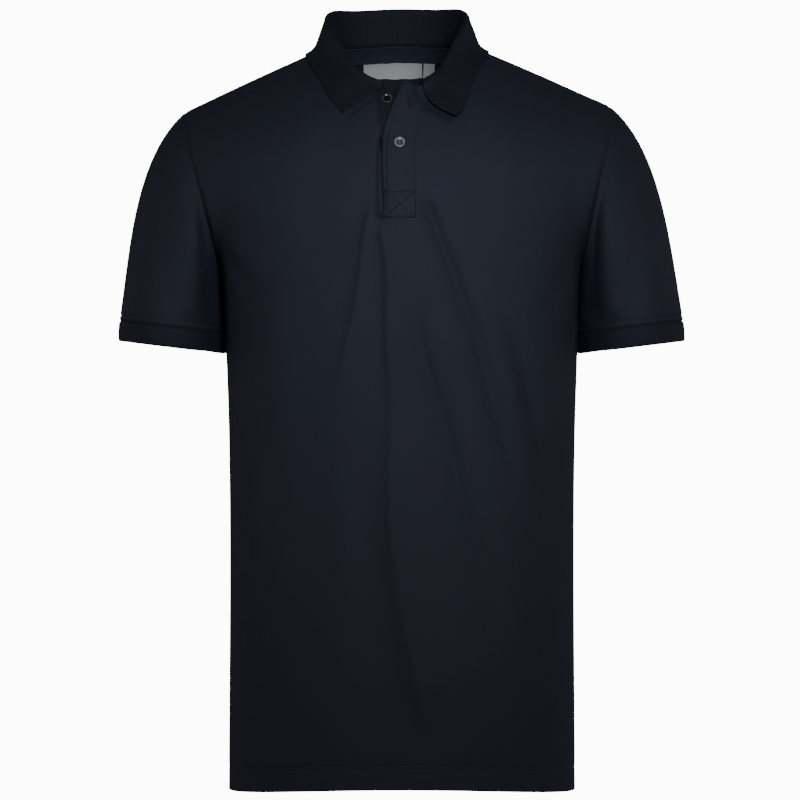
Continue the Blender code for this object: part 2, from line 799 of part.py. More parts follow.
band, under_normals, _ = placket_grid("under_left", "under_right", 5, 0.0)
under_outer = band - under_normals * (PIQUE + INNER_GAP)
add_shell("placket_under", under_outer, under_normals, PIQUE, NAVY, 0.9)

band, band_normals, lift = placket_grid("upper_left", "upper_right", 7, 3.5)
free_share = np.linspace(1.0, 0.0, 7)[None, :] ** 1.6
upper_outer = band + band_normals * ((LAYER_GAP + PIQUE) + lift[:, None] * free_share)[..., None]
upper_normals = grid_normals(upper_outer)
add_shell("placket_upper", upper_outer, upper_normals, PIQUE, NAVY, 0.9)


def add_button(name, place, cloth, cloth_normals, colour):
    """A dished button with a raised rim and four holes, standing just off the cloth under it."""
    flat = cloth.reshape(-1, 3)
    nearest = int(np.argmin((flat[:, 0] - place.x) ** 2 + (flat[:, 2] - place.z) ** 2))
    normal = cloth_normals.reshape(-1, 3)[nearest]
    slope = normal[0] * (flat[nearest, 0] - place.x) + normal[2] * (flat[nearest, 2] - place.z)
    foot = np.array((place.x, flat[nearest, 1] + slope / normal[1], place.z))
    centre = foot + normal * LAYER_GAP
    right = unit(np.array((-normal[1], normal[0], 0.0)))
    up = np.cross(normal, right)
    radius = 0.5 * BUTTON_DIAMETER
    profile = (
        (0.86 * radius, 0.0),
        (radius, 0.45 * BUTTON_THICKNESS),
        (0.93 * radius, BUTTON_THICKNESS),
        (0.80 * radius, BUTTON_THICKNESS),
        (0.66 * radius, 0.62 * BUTTON_THICKNESS),
    )
    vertices = []
    faces = []
    for k, (reach, height) in enumerate(profile):
        for j in range(BUTTON_SEGMENTS):
            angle = 2.0 * math.pi * j / BUTTON_SEGMENTS
            spoke = right * math.cos(angle) + up * math.sin(angle)
            vertices.append(centre + spoke * reach + normal * height)
            if k > 0:
                after = (j + 1) % BUTTON_SEGMENTS
                low = (k - 1) * BUTTON_SEGMENTS
                high = k * BUTTON_SEGMENTS
                faces.append([low + j, low + after, high + after, high + j])
    faces.append(list(range(BUTTON_SEGMENTS))[::-1])
    faces.append(list(range(len(vertices) - BUTTON_SEGMENTS, len(vertices))))
    button = add_piece(name, vertices, faces, colour, 0.35)

    holes = []
    hole_faces = []
    for side in (-1.0, 1.0):
        for rise in (-1.0, 1.0):
            first = len(holes)
            middle = centre + right * (BUTTON_HOLE_SPACING * side) + up * (BUTTON_HOLE_SPACING * rise)
            for height in (-2.0, BUTTON_THICKNESS + 2.0):
                for j in range(HOLE_SEGMENTS):
                    angle = 2.0 * math.pi * (j + 0.5) / HOLE_SEGMENTS
                    spoke = right * math.cos(angle) + up * math.sin(angle)
                    holes.append(middle + spoke * (0.5 * BUTTON_HOLE) + normal * height)
            ring = [first + j for j in range(HOLE_SEGMENTS)]
            lid = [index + HOLE_SEGMENTS for index in ring]
            for j in range(HOLE_SEGMENTS):
                after = (j + 1) % HOLE_SEGMENTS
                hole_faces.append([ring[j], ring[after], lid[after], lid[j]])
            hole_faces.append(ring[::-1])
            hole_faces.append(lid)
    cutter = add_piece(name + "_holes", holes, hole_faces, colour, 0.35)
    cutter.hide_render = True
    cut = button.modifiers.new("holes", "BOOLEAN")
    cut.operation = "DIFFERENCE"
    cut.solver = "EXACT"
    cut.object = cutter


add_button("button_upper", UPPER_BUTTON, under_outer, under_normals, DARK_BUTTON)
add_button("button_lower", LOWER_BUTTON, upper_outer, upper_normals, GREY_LILAC)


# Collar: one ribbed strip, sewn to the neck edge and rolled over.
def neck_edge(end_x, side):
    """The neck seam from the middle of the back to the collar's front end, with the cloth's normals."""
    end_across = float(across_at(end_x, FRONT_NECK_LEVEL))
    back_turn = np.linspace(0.0, 0.5 * math.pi, 40)
    front_turn = np.linspace(0.5 * math.pi, math.asin(abs(end_across) / NECK_ACROSS), 60)[1:]
    back_across = NECK_ACROSS * np.sin(back_turn)
    front_across = NECK_ACROSS * np.sin(front_turn)
    across = np.concatenate((back_across, front_across)) * side
    level = np.concatenate(
        (2.0 - neck_level(back_across, BACK_NECK_LEVEL), neck_level(front_across, FRONT_NECK_LEVEL))
    )
    points = torso_point(across, level)
    step = 0.004
    along_row = torso_point(across + step, level) - torso_point(across - step, level)
    along_level = torso_point(across, level + step) - torso_point(across, level - step)
    return points, unit(np.cross(along_row, along_level))


def resample(line, shares, extra):
    """Points at shares of a line's length, with the values carried beside it."""
    steps = np.linalg.norm(np.diff(line, axis=0), axis=1)
    run = np.concatenate(([0.0], np.cumsum(steps)))
    run = run / run[-1]
    places = np.stack([np.interp(shares, run, line[:, axis]) for axis in range(3)], axis=1)
    carried = np.stack([np.interp(shares, run, extra[:, axis]) for axis in range(3)], axis=1)
    return places, unit(carried)


def collar_half(side, end_x, tip):
    """Sections of one half of the collar, from the middle of the back to its front end."""
    shares = np.linspace(0.0, 1.0, COLLAR_COLUMNS)
    line, cloth = neck_edge(end_x, side)
    base, cloth_up = resample(line, shares, cloth)
    along = seam_tangents(base)
    out = unit(np.cross(along, np.array((0.0, 0.0, 1.0)))) * np.array((1.0, 1.0, 0.0))
    out = toward(unit(out), base)
    rows = COLLAR_ROWS
    table = [(row.stand, row.lean, row.edge_x, row.edge_y, row.edge_z) for row in rows]
    values = natural_spline([row.share for row in rows], table, shares)
    stand = values[:, 0:1]
    lean = values[:, 1:2]
    edge = values[:, 2:5] * np.array((side, 1.0, 1.0))
    front_share = smooth_share((shares - 0.55) / 0.45)[:, None]
    edge = edge + np.array((side * tip.out, -tip.lift, -tip.drop)) * front_share
    up = np.array((0.0, 0.0, 1.0))
    base = base + cloth_up * (LAYER_GAP + 0.1)
    roll = base + up * stand + out * lean
    hub = roll - up * COLLAR_ROLL_RADIUS
    turns = [math.radians(45.0 * k) for k in range(5)]
    bend = [hub + (up * math.sin(turn) - out * math.cos(turn)) * COLLAR_ROLL_RADIUS for turn in turns]
    bow = out * (0.035 * stand)
    rise = [base + (bend[0] - base) * share + bow * math.sin(math.pi * share) for share in (0.0, 0.35, 0.7)]
    front_bow = np.array((-side, -0.55, -0.4)) * tip.bow * smooth_share((shares - 0.76) / 0.24)[:, None]
    drop = []
    for share in (0.2, 0.45, 0.72, 1.0):
        sag = (out * FALL_HOLLOW - front_bow) * math.sin(math.pi * share)
        drop.append(bend[-1] + (edge - bend[-1]) * share - sag)
    return np.stack(rise + bend + drop, axis=0)


def clearance_samples():
    """Points and normals of everything that the collar lies over."""
    across = np.linspace(-0.97, 0.97, 90)[None, :]
    level = np.linspace(0.74, 1.26, 90)[:, None]
    points = torso_point(across, level)
    inside = np.abs(across) < NECK_ACROSS * 1.02
    hole = (level > FRONT_NECK_LEVEL - 0.01) & (level < 2.0 - BACK_NECK_LEVEL + 0.005) & inside
    normals = grid_normals(points)
    cloth = points[~hole]
    cloth_normals = normals[~hole]
    bands = upper_outer.reshape(-1, 3)
    band_up = upper_normals.reshape(-1, 3)
    return np.concatenate((cloth, bands)), np.concatenate((cloth_normals, band_up))


left_half = collar_half(1.0, LEFT_COLLAR_END_X, LEFT_TIP)
right_half = collar_half(-1.0, RIGHT_COLLAR_END_X, RIGHT_TIP)
collar = np.concatenate((left_half[:, :0:-1], right_half), axis=1)
samples, sample_normals = clearance_samples()
fall = collar[COLLAR_BEND_END:]
for _ in range(2):
    spare = np.array(FALL_CLEARANCES)[:, None] + np.zeros(fall.shape[:2])
    fall = push_clear(fall, samples, sample_normals, RIB + spare.reshape(-1))
collar[COLLAR_BEND_END:] = fall
collar = collar[::-1]
collar_normals = grid_normals(collar)
add_shell("collar", collar, collar_normals, RIB, NAVY_RIB, 0.9)

# Neck tape, inside the back of the neck, between the shoulder seams.
tape_turn = np.linspace(0.35 * math.pi, -0.35 * math.pi, 25)
tape_rows = []
for share in (1.0, 0.5, 0.02):
    wide = NECK_ACROSS * (1.0 + share * TAPE_WIDTH / NECK_HALF_WIDTH)
    deep = (1.0 - BACK_NECK_LEVEL) + share * TAPE_WIDTH * TAPE_LEVEL_PER_MM
    tape_rows.append(torso_point(wide * np.sin(tape_turn), 1.0 + deep * np.cos(tape_turn)))
tape = settle(np.stack(tape_rows, axis=0), back_facets)
tape_normals = grid_normals(tape)
tape = tape - tape_normals * (PIQUE + TAPE_GAP)
add_shell("neck_tape", tape, tape_normals, TAPE, NAVY, 0.8)


def add_label(name, label):
    """A plain woven label on the inner face of the back."""
    width = label.right - label.left
    height = label.top - label.bottom
    columns = max(3, int(width / 6.0) + 1)
    right = np.linspace(0.5 * width, -0.5 * width, columns)[None, :]
    up = np.linspace(-0.5 * height, 0.5 * height, 4)[:, None]
    turn = math.radians(label.turn)
    x = 0.5 * (label.left + label.right) + right * math.cos(turn) - up * math.sin(turn)
    z = 0.5 * (label.top + label.bottom) + right * math.sin(turn) + up * math.cos(turn)
    across, level = place_on_torso(x, z, back=True)
    points = settle(torso_point(across, level), back_facets)
    normals = grid_normals(points)
    points = points - normals * (PIQUE + INNER_GAP)
    add_shell(name, points, normals, LABEL, LABEL_WHITE, 0.7)


add_label("label_main", MAIN_LABEL)
add_label("label_size", SIZE_LABEL)
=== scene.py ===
"""Men's short-sleeved polo shirt of navy pique knit, filled out on a general figure with nobody in it.

Sizes are in millimetres in the shirt's own cut frame: the origin is the middle of the neck base, +Z is up,
the front faces -Y and the wearer's left side is +X. The torso is one smooth bag. Its panels, the bands of
the neck opening, the collar, the tape and the labels are all walls of cloth on that bag, the sleeves grow
from its armholes, and stand_up() leans the finished shirt as it is worn and turns millimetres into metres.
"""

import json
import logging
import math
from dataclasses import dataclass, field
from enum import Enum
from typing import Callable, NamedTuple, Sequence

import bmesh
import bpy
import numpy as np
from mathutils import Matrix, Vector
from mathutils.bvhtree import BVHTree

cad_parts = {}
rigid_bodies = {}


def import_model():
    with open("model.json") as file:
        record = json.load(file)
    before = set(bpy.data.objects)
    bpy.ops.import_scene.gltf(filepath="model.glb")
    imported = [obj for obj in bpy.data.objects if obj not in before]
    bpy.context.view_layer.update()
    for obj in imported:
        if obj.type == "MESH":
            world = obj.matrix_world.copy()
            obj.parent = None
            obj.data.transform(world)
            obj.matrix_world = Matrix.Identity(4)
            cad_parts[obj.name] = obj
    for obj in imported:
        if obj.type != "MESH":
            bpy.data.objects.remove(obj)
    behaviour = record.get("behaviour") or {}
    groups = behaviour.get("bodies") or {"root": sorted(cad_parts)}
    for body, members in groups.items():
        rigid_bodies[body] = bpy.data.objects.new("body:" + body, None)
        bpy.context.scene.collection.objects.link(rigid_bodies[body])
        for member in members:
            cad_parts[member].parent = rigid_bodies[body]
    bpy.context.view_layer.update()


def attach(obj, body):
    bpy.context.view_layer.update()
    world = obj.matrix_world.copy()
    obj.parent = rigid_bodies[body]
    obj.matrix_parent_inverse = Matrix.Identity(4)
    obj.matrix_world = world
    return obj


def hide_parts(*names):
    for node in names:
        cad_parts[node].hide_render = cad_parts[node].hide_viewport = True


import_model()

LOG = logging.getLogger("polo_shirt")
BODY = "root"
Array = np.ndarray

WHITE = (1.0, 1.0, 1.0, 1.0)
LINT_COLOUR = (0.35, 0.37, 0.4, 1.0)

MM = 0.001
SWAY = 5.0
SWAY_FULL_DEPTH = 360.0
SHOULDER_TILT = 0.014
TILT_START_Z = -300.0
TILT_SPAN = 220.0

PIQUE_WALL = 1.2
RIB_WALL = 1.6
TAPE_WALL = 0.8
LABEL_WALL = 0.5
SEAM_GAP = 0.08
LAYER_GAP = 0.4
INNER_GAP = 2.1
TAPE_GAP = 2.6

SEAM_STEPS = (0.0, 0.7, 1.5, 2.6, 4.2)
BAND_EDGE_STEPS = (0.0, 0.4, 1.0, 1.9)
COLLAR_EDGE_STEPS = (0.0, 0.5, 1.2, 2.2)
CREASE_SAMPLES = 40
TIGHT_REACH = 6.0
ROUND_REACH = 3.0
HALVINGS = 30


# ------------------------------
# The cut: what each section of the shirt measures.


class TorsoRow(NamedTuple):
    """One row round the torso. level is 0 at the hem and 1 on the shoulder ridge."""

    level: float
    front_y: float
    front_z: float
    back_y: float
    back_z: float
    squareness: float
    droop: float
    turn: float


TORSO_ROWS = tuple(TorsoRow(*row) for row in (
    (0.00, -117, -758, 106, -774, 2.5, 2.0, 90),
    (0.17, -119, -616, 104, -628, 2.5, 2.0, 90),
    (0.34, -122, -478, 99, -484, 2.5, 2.0, 90),
    (0.50, -127, -345, 104, -350, 2.5, 2.0, 90),
    (0.62, -130, -248, 113, -248, 2.4, 2.0, 90),
    (0.70, -128, -188, 117, -196, 2.4, 1.9, 79),
    (0.78, -117, -126, 116, -140, 2.3, 1.7, 68),
    (0.86, -98, -76, 109, -76, 2.3, 1.5, 62),
    (0.93, -66, -28, 88, -11, 2.2, 1.2, 60),
    (1.00, 4, 22, 4, 22, 2.2, 1.0, 60),
))


class SideRow(NamedTuple):
    """A point of the side seam."""

    level: float
    x: float
    y: float
    z: float


SIDE_ROWS = tuple(SideRow(*row) for row in (
    (0.00, 178.6, 0, -766),
    (0.17, 177.6, 0, -622),
    (0.34, 177.4, 0, -482),
    (0.50, 180.0, 0, -346),
    (0.62, 184.5, 2, -236),
))


class ArmholeRow(NamedTuple):
    """A level of the armhole seam, on the front and on the back."""

    level: float
    front_x: float
    front_y: float
    front_z: float
    back_x: float
    back_y: float
    back_z: float


ARMHOLE_ROWS = tuple(ArmholeRow(*row) for row in (
    (0.62, 184.5, 2, -236, 184.5, 2, -236),
    (0.70, 190.0, -42, -209, 189.0, 48, -213),
    (0.78, 198.0, -60, -170, 194.0, 68, -172),
    (0.86, 208.0, -55, -129, 202.0, 66, -128),
    (0.93, 217.0, -33, -92, 213.0, 42, -90),
    (1.00, 219.0, 3, -65.5, 219.0, 3, -65.5),
))
UNDERARM_LEVEL = 0.62
RIDGE_SOFTNESS = 0.15
NECK_HALF_WIDTH = 72.0
FRONT_NECK_LEVEL = 0.905
BACK_NECK_LEVEL = 0.953


class BandRow(NamedTuple):
    """A height on the neck opening: both edges of each band, and how far the top one's free edge lifts."""

    z: float
    under_left: float
    under_right: float
    upper_left: float
    upper_right: float
    lift: float


BAND_ROWS = tuple(BandRow(*row) for row in (
    (-183, -17.0, 18.0, -17.5, 18.0, 0.0),
    (-155, -17.5, 17.5, -17.5, 18.0, 0.0),
    (-125, -18.5, 16.5, -17.5, 18.0, 0.5),
    (-106, -20.0, 15.0, -16.0, 19.5, 1.2),
    (-88, -22.0, 12.5, -11.5, 24.0, 2.5),
    (-73, -23.5, 10.5, -5.5, 29.5, 4.0),
    (-60, -24.5, 9.0, 0.5, 35.0, 5.5),
    (-50, -25.0, 8.0, 6.0, 40.0, 6.5),
))
BAND_OVERLAP = 2.5
LEFT_COLLAR_END_X = 23.0
RIGHT_COLLAR_END_X = -13.5


class CollarRow(NamedTuple):
    """A section of the collar, from the middle of the back at 0 to its front end at 1.

    stand is how high the roll is above the neck seam, and lean is how far out of it.
    """

    share: float
    stand: float
    lean: float
    edge_x: float
    edge_y: float
    edge_z: float


COLLAR_ROWS = tuple(CollarRow(*row) for row in (
    (0.00, 36.5, 2.0, 0, 81, -6),
    (0.22, 37.5, 2.0, 58, 65, -7),
    (0.34, 36.5, 1.5, 80, 38, -9),
    (0.44, 31.0, 0.5, 91, 8, -11),
    (0.60, 25.0, -2.0, 89, -28, -25),
    (0.78, 17.0, -4.0, 79, -58, -45),
    (0.91, 8.5, 0.0, 67, -82, -63),
    (1.00, 3.5, 4.5, 55, -99, -74.5),
))


class TipShift(NamedTuple):
    """How far a front end of the collar lies from the table's last row, and how far its edge bows forward."""

    out: float
    lift: float
    drop: float
    bow: float


class Band(Enum):
    """Which band of the neck opening, by the column of its left edge in the values of BandRow."""

    UNDER = 0
    UPPER = 2


class Label(NamedTuple):
    """A label inside the back of the neck. turn is in degrees."""

    left: float
    right: float
    top: float
    bottom: float
    turn: float


class ButtonPlace(NamedTuple):
    """Where a button sits on the front."""

    x: float
    z: float


class Side(Enum):
    """Which of the wearer's sides a piece is on."""

    LEFT = 1.0
    RIGHT = -1.0


@dataclass(frozen=True)
class Crease:
    """A soft trough or ridge in a panel, drawn through a few places.

    path holds x and z of its line from the top down. left and right are how far it reaches to either side,
    and height is how far its crest stands out, or how deep it is where that is negative. A crease with a
    crest radius is drawn tight along its line, and one without is round.
    """

    path: tuple[tuple[float, float], ...]
    left: float
    right: float
    height: float
    fade_top: float = 0.25
    fade_low: float = 0.35
    crest: float = 0.0


FRONT_CREASES = tuple(Crease(*row) for row in (
    # Tight folds that hang from the foot of the neck opening.
    (
        ((-28, -168), (-35, -201), (-40, -236), (-45, -266), (-54, -306), (-64, -346), (-76, -384)),
        15, 4.5, 3.4, 0.08, 0.5, 1.5,
    ),
    (
        (
            (-21, -184), (-17, -206), (-13, -236), (-13, -266),
            (-14, -306), (-11, -346), (-11, -396), (-10, -446),
        ),
        20, 5.5, 5.2, 0.08, 0.5, 1.5,
    ),
    (
        ((-12, -356), (-11, -396), (-9, -506), (-1, -566), (10, -626), (28, -712)),
        36, 12, 8.0, 0.35, 0.2, 3.0,
    ),
    (
        (
            (8, -236), (15, -266), (19, -306), (29, -346), (45, -396),
            (56, -446), (74, -506), (94, -566), (110, -620),
        ),
        11, 14, -6.0, 0.3, 0.3, 3.0,
    ),
    (
        (
            (21, -158), (32, -181), (41, -206), (53, -236), (62, -266),
            (77, -306), (87, -346), (102, -396), (118, -446), (140, -500),
        ),
        8, 12, -6.5, 0.06, 0.4, 2.5,
    ),
    (((16, -152), (23, -160), (30, -166)), 4, 4, -1.0),
    # Broad swells and hollows of the lower front.
    (((96, -256), (112, -300), (126, -346), (139, -396), (147, -446), (153, -520)), 15, 12, -6.0, 0.45),
    (
        ((-138, -398), (-144, -466), (-148, -516), (-150, -566), (-156, -616), (-164, -660)),
        9, 8, 3.8, 0.3, 0.3, 2.0,
    ),
    (((-100, -240), (-96, -400), (-98, -560), (-104, -720)), 40, 40, -3.0),
    (((-62, -420), (-58, -560), (-60, -700)), 22, 24, 1.4),
    (((60, -600), (66, -680), (64, -748)), 24, 28, 1.8),
    (((124, -560), (128, -640), (122, -745)), 18, 22, -1.6),
    # Drag lines of the armholes and of the shoulders.
    (((-178, -196), (-160, -214), (-132, -228)), 9, 13, 1.4),
    (((-180, -214), (-164, -238), (-142, -268)), 8, 9, -1.5),
    (((176, -192), (158, -206), (130, -214)), 12, 10, 1.2),
    (((178, -216), (163, -246), (146, -292)), 8, 10, -1.7),
    (((-64, -62), (-98, -108), (-128, -172)), 22, 22, 0.9),
    (((86, -58), (108, -104), (134, -168)), 22, 24, 0.9),
    # The cloth falls back beside the free edge of the upper band and under the front edges of the collar.
    (((-13.0, -84), (-17.0, -106), (-18.6, -130), (-18.8, -186)), 6.0, 3.4, -5.0, 0.2, 0.08),
    (((14, -47), (24, -61), (39, -71.5), (58, -80.5)), 4.5, 4.0, -5.0, 0.1, 0.1),
    (((-14, -50), (-33, -64), (-56, -80)), 2.6, 2.6, -1.4, 0.1, 0.1),
))

BACK_CREASES = tuple(Crease(*row) for row in (
    (((-150, -170), (-128, -300), (-104, -440), (-92, -700)), 24, 34, -3.8),
    (((-96, -200), (-74, -330), (-58, -470), (-50, -740)), 22, 28, 3.0),
    (((-30, -180), (-10, -330), (2, -460), (-6, -730)), 24, 28, -3.6),
    (((56, -190), (46, -340), (44, -480), (52, -740)), 22, 26, 3.0),
    (((146, -180), (122, -320), (104, -430), (108, -700)), 24, 34, -4.2),
    (((150, -330), (152, -450), (148, -640)), 14, 18, 2.2),
    (((-154, -360), (-152, -480), (-156, -650)), 14, 18, 2.2),
    (((-172, -196), (-140, -224), (-104, -246)), 9, 13, -1.8),
    (((170, -200), (142, -232), (98, -262)), 9, 14, -1.8),
    (((-168, -240), (-132, -268), (-84, -300)), 10, 15, 1.6),
    (((166, -236), (134, -262), (92, -286)), 10, 14, 1.5),
    (((-70, -96), (-96, -140), (-128, -182)), 14, 18, -1.3),
    (((72, -92), (100, -138), (130, -178)), 14, 18, -1.3),
    (((-34, -560), (-22, -640), (-30, -750)), 16, 20, 1.8),
    (((22, -520), (18, -620), (26, -740)), 14, 18, -1.6),
))

SLEEVE_FRONT_CREASES = tuple(Crease(*row) for row in (
    (((223, -113), (215, -116), (209, -124), (204, -140), (200, -164)), 7, 4, -3.2, 0.2, 0.5),
    (((205, -140), (198, -180), (194, -220), (190, -288)), 8, 6, -3.8, 0.4, 0.1),
    (((214, -152), (210, -190), (210, -222), (212, -288)), 14, 8, 3.8, 0.35, 0.15),
    (((226, -108), (240, -150), (246, -214)), 13, 17, -1.2),
    (((236, -180), (243, -232), (240, -290)), 10, 12, -1.1),
    (((262, -150), (270, -208), (268, -280)), 12, 14, 1.2),
))
SLEEVE_BACK_CREASES = tuple(Crease(*row) for row in (
    (((196, -150), (200, -196), (206, -250), (208, -288)), 9, 13, -3.2, 0.35, 0.3),
    (((218, -128), (230, -188), (232, -270)), 12, 15, 1.8),
    (((240, -120), (252, -188), (250, -284)), 12, 15, -1.8),
    (((268, -160), (272, -216), (266, -286)), 11, 13, 1.3),
))


# ------------------------------
# Curves and grids.


def natural_spline(knots: Sequence[float], table: Sequence, at: Array) -> Array:
    """Natural cubic spline through the rows of a table.

    Args:
        knots: Where each row of the table lies.
        table: The rows, one value or several in each.
        at: Places to take the spline at.

    Returns:
        The values at those places.
    """
    knots = np.asarray(knots, dtype=float)
    table = np.asarray(table, dtype=float)
    gaps = np.diff(knots)
    count = len(knots)
    system = np.eye(count)
    target = np.zeros_like(table)
    for i in range(1, count - 1):
        system[i, i - 1] = gaps[i - 1]
        system[i, i] = 2.0 * (gaps[i - 1] + gaps[i])
        system[i, i + 1] = gaps[i]
        rise = (table[i + 1] - table[i]) / gaps[i]
        before = (table[i] - table[i - 1]) / gaps[i - 1]
        target[i] = 6.0 * (rise - before)
    bend = np.linalg.solve(system, target.reshape(count, -1)).reshape(table.shape)
    at = np.asarray(at, dtype=float)
    cell = np.clip(np.searchsorted(knots, at) - 1, 0, count - 2)
    tail = (1,) * (table.ndim - 1)
    gap = gaps[cell].reshape(at.shape + tail)
    after = (at - knots[cell]).reshape(at.shape + tail) / gap
    ahead = 1.0 - after
    curve = (ahead ** 3 - ahead) * bend[cell] + (after ** 3 - after) * bend[cell + 1]
    return ahead * table[cell] + after * table[cell + 1] + gap * gap * curve / 6.0


def row_spline(rows: Sequence[NamedTuple], at: Array) -> Array:
    """The spline through a table's rows, by their first value."""
    table = np.array(rows, dtype=float)
    return natural_spline(table[:, 0], table[:, 1:], at)


def round_spline(rows: Sequence[NamedTuple], width: int, level: Array) -> Array:
    """The spline up the front values of a table of levels and down its back values.

    Args:
        rows: A level in each, then the front's values, then the back's.
        width: How many values each side has.
        level: Places, from 0 at the front hem to 2 at the back hem.

    Returns:
        The values at those places.
    """
    table = np.array(rows, dtype=float)
    back = table[-2::-1]
    levels = np.concatenate((table[:, 0], 2.0 - back[:, 0]))
    values = np.concatenate((table[:, 1 : 1 + width], back[:, 1 + width : 1 + 2 * width]))
    return natural_spline(levels, values, level)


def band_edges(z: Array) -> Array:
    """The values of BandRow at these heights, without its own z."""
    return row_spline(BAND_ROWS, np.clip(z, BAND_ROWS[0].z, BAND_ROWS[-1].z))


def points_at(line: Array, run: Array, at: Array) -> Array:
    """Points or normals at these lengths along a line."""
    return np.stack([np.interp(at, run, line[:, axis]) for axis in range(3)], axis=1)


def dent(distance: Array, width: float) -> Array:
    """A rounded dent across a line: 1 on it, fading to 0 on either side."""
    return np.exp(-((distance / width) ** 2))


def unit(vectors: Array) -> Array:
    """Vectors of length one."""
    length = np.linalg.norm(vectors, axis=-1, keepdims=True)
    return vectors / np.maximum(length, 1e-9)


def smooth_share(value: Array) -> Array:
    """0 to 1 with soft ends."""
    value = np.clip(value, 0.0, 1.0)
    return value * value * (3.0 - 2.0 * value)


def tangents_along(points: Array) -> Array:
    """Directions along the first axis of a grid, halfway between the steps on either side."""
    steps = unit(np.diff(points, axis=0))
    return unit(np.concatenate((steps[:1], steps[1:] + steps[:-1], steps[-1:]), axis=0))


def grid_normals(points: Array, closed: bool = False) -> Array:
    """Normals of a grid whose rows go up and whose columns go to the right, seen from outside.

    Args:
        points: Rows by columns of points.
        closed: Whether the columns run all round.

    Returns:
        A unit normal for each point.
    """
    turned = np.swapaxes(points, 0, 1)
    if closed:
        turned = np.concatenate((turned[-1:], turned, turned[:1]), axis=0)
    right = np.swapaxes(tangents_along(turned), 0, 1)
    if closed:
        right = right[:, 1:-1]
    return unit(np.cross(right, tangents_along(points)))


def run_lengths(points: Array, axis: int) -> Array:
    """Length from the start of a grid along one of its axes, at every point."""
    steps = np.linalg.norm(np.diff(points, axis=axis), axis=-1)
    start = np.zeros_like(np.take(steps, [0], axis=axis))
    return np.concatenate((start, np.cumsum(steps, axis=axis)), axis=axis)


def refine(points: Array, rows: Array, columns: Array) -> Array:
    """A finer grid on the smooth surface through a coarse one.

    Args:
        points: The coarse grid.
        rows: Shares of the way along its rows, 0 to 1.
        columns: Shares of the way along its columns, 0 to 1.

    Returns:
        The finer grid.
    """
    for shares in (rows, columns):
        run = run_lengths(points, 0).mean(axis=tuple(range(1, points.ndim - 1)))
        points = np.swapaxes(natural_spline(run / run[-1], points, shares), 0, 1)
    return points


def end_spaced(length: float, start: Sequence[float], stop: Sequence[float], count: int) -> Array:
    """Shares of a length that are close together at both ends.

    Args:
        length: The length in millimetres.
        start: Distances from the start, from 0 up.
        stop: Distances from the end, from 0 up.
        count: How many even steps lie between them.

    Returns:
        Rising shares from 0 to 1.
    """
    middle = np.linspace(start[-1], length - stop[-1], count + 1)[1:-1]
    places = np.concatenate((start, middle, length - np.asarray(stop)[::-1]))
    return places / length


def toward(direction: Array, target: Array) -> Array:
    """The directions, each turned to the side that its target is on."""
    sign = np.sign((direction * target).sum(axis=-1, keepdims=True))
    return direction * np.where(sign == 0.0, 1.0, sign)


def mirror_x(points: Array) -> Array:
    """The same points on the wearer's other side."""
    return points * np.array((-1.0, 1.0, 1.0))


def facets(grid: Array) -> BVHTree:
    """A search tree of a panel's facets."""
    rows, columns = grid.shape[:2]
    first = (np.arange(rows - 1)[:, None] * columns + np.arange(columns - 1)[None, :]).reshape(-1)
    cells = np.stack((first, first + 1, first + columns + 1, first + columns), axis=1)
    return BVHTree.FromPolygons([Vector(point) for point in grid.reshape(-1, 3)], cells.tolist())


def settle(points: Array, tree: BVHTree) -> Array:
    """Moves points onto a panel."""
    flat = [tuple(tree.find_nearest(Vector(point))[0]) for point in points.reshape(-1, 3)]
    return np.array(flat).reshape(points.shape)


def stand_up(points: Array) -> Array:
    """Points of the cut frame in metres, with the shirt's lean and its lower right shoulder."""
    placed = np.array(points, dtype=float)
    tilt = SHOULDER_TILT * smooth_share((placed[..., 2] - TILT_START_Z) / TILT_SPAN)
    placed[..., 0] += SWAY * smooth_share(-placed[..., 2] / SWAY_FULL_DEPTH)
    placed[..., 2] += tilt * placed[..., 0]
    return placed * MM


def crease_lift(points: Array, creases: Sequence[Crease]) -> Array:
    """How far creases lift each point along its normal.

    Args:
        points: Points of a panel, in the cut frame.
        creases: The creases of that panel.

    Returns:
        A height for each point.
    """
    places = points[..., (0, 2)].reshape(-1, 2)
    lift = np.zeros(len(places))
    for crease in creases:
        path = np.array(crease.path, dtype=float)
        run = run_lengths(path, 0)
        line = natural_spline(run, path, np.linspace(0.0, run[-1], CREASE_SAMPLES))
        reach = (TIGHT_REACH if crease.crest > 0.0 else ROUND_REACH) * max(crease.left, crease.right)
        near = np.all((places > line.min(axis=0) - reach) & (places < line.max(axis=0) + reach), axis=1)
        start, step = line[:-1], np.diff(line, axis=0)
        offset = places[near][:, None, :] - start[None]
        along = np.clip((offset * step).sum(axis=2) / (step ** 2).sum(axis=1), 0.0, 1.0)
        gap = offset - along[..., None] * step
        cell = np.argmin((gap ** 2).sum(axis=2), axis=1)
        pick = np.arange(len(cell))
        gap = gap[pick, cell]
        heading = step[cell] / np.linalg.norm(step[cell], axis=1, keepdims=True)
        aside = gap[:, 1] * heading[:, 0] - gap[:, 0] * heading[:, 1]
        beyond = np.abs((gap * heading).sum(axis=1))
        share = (cell + along[pick, cell]) / (CREASE_SAMPLES - 1)
        top_end = smooth_share(share / crease.fade_top + 0.05)
        ends = top_end * smooth_share((1.0 - share) / crease.fade_low + 0.05)
        width = np.where(aside < 0.0, crease.right, crease.left) * (0.6 + 0.6 * share)
        if crease.crest > 0.0:
            fall = (np.hypot(aside, crease.crest) - crease.crest) / width
        else:
            fall = (aside / width) ** 2
        lift[near] += crease.height * ends * np.exp(-fall - (beyond / (0.7 * width)) ** 2)
    return lift.reshape(points.shape[:-1])


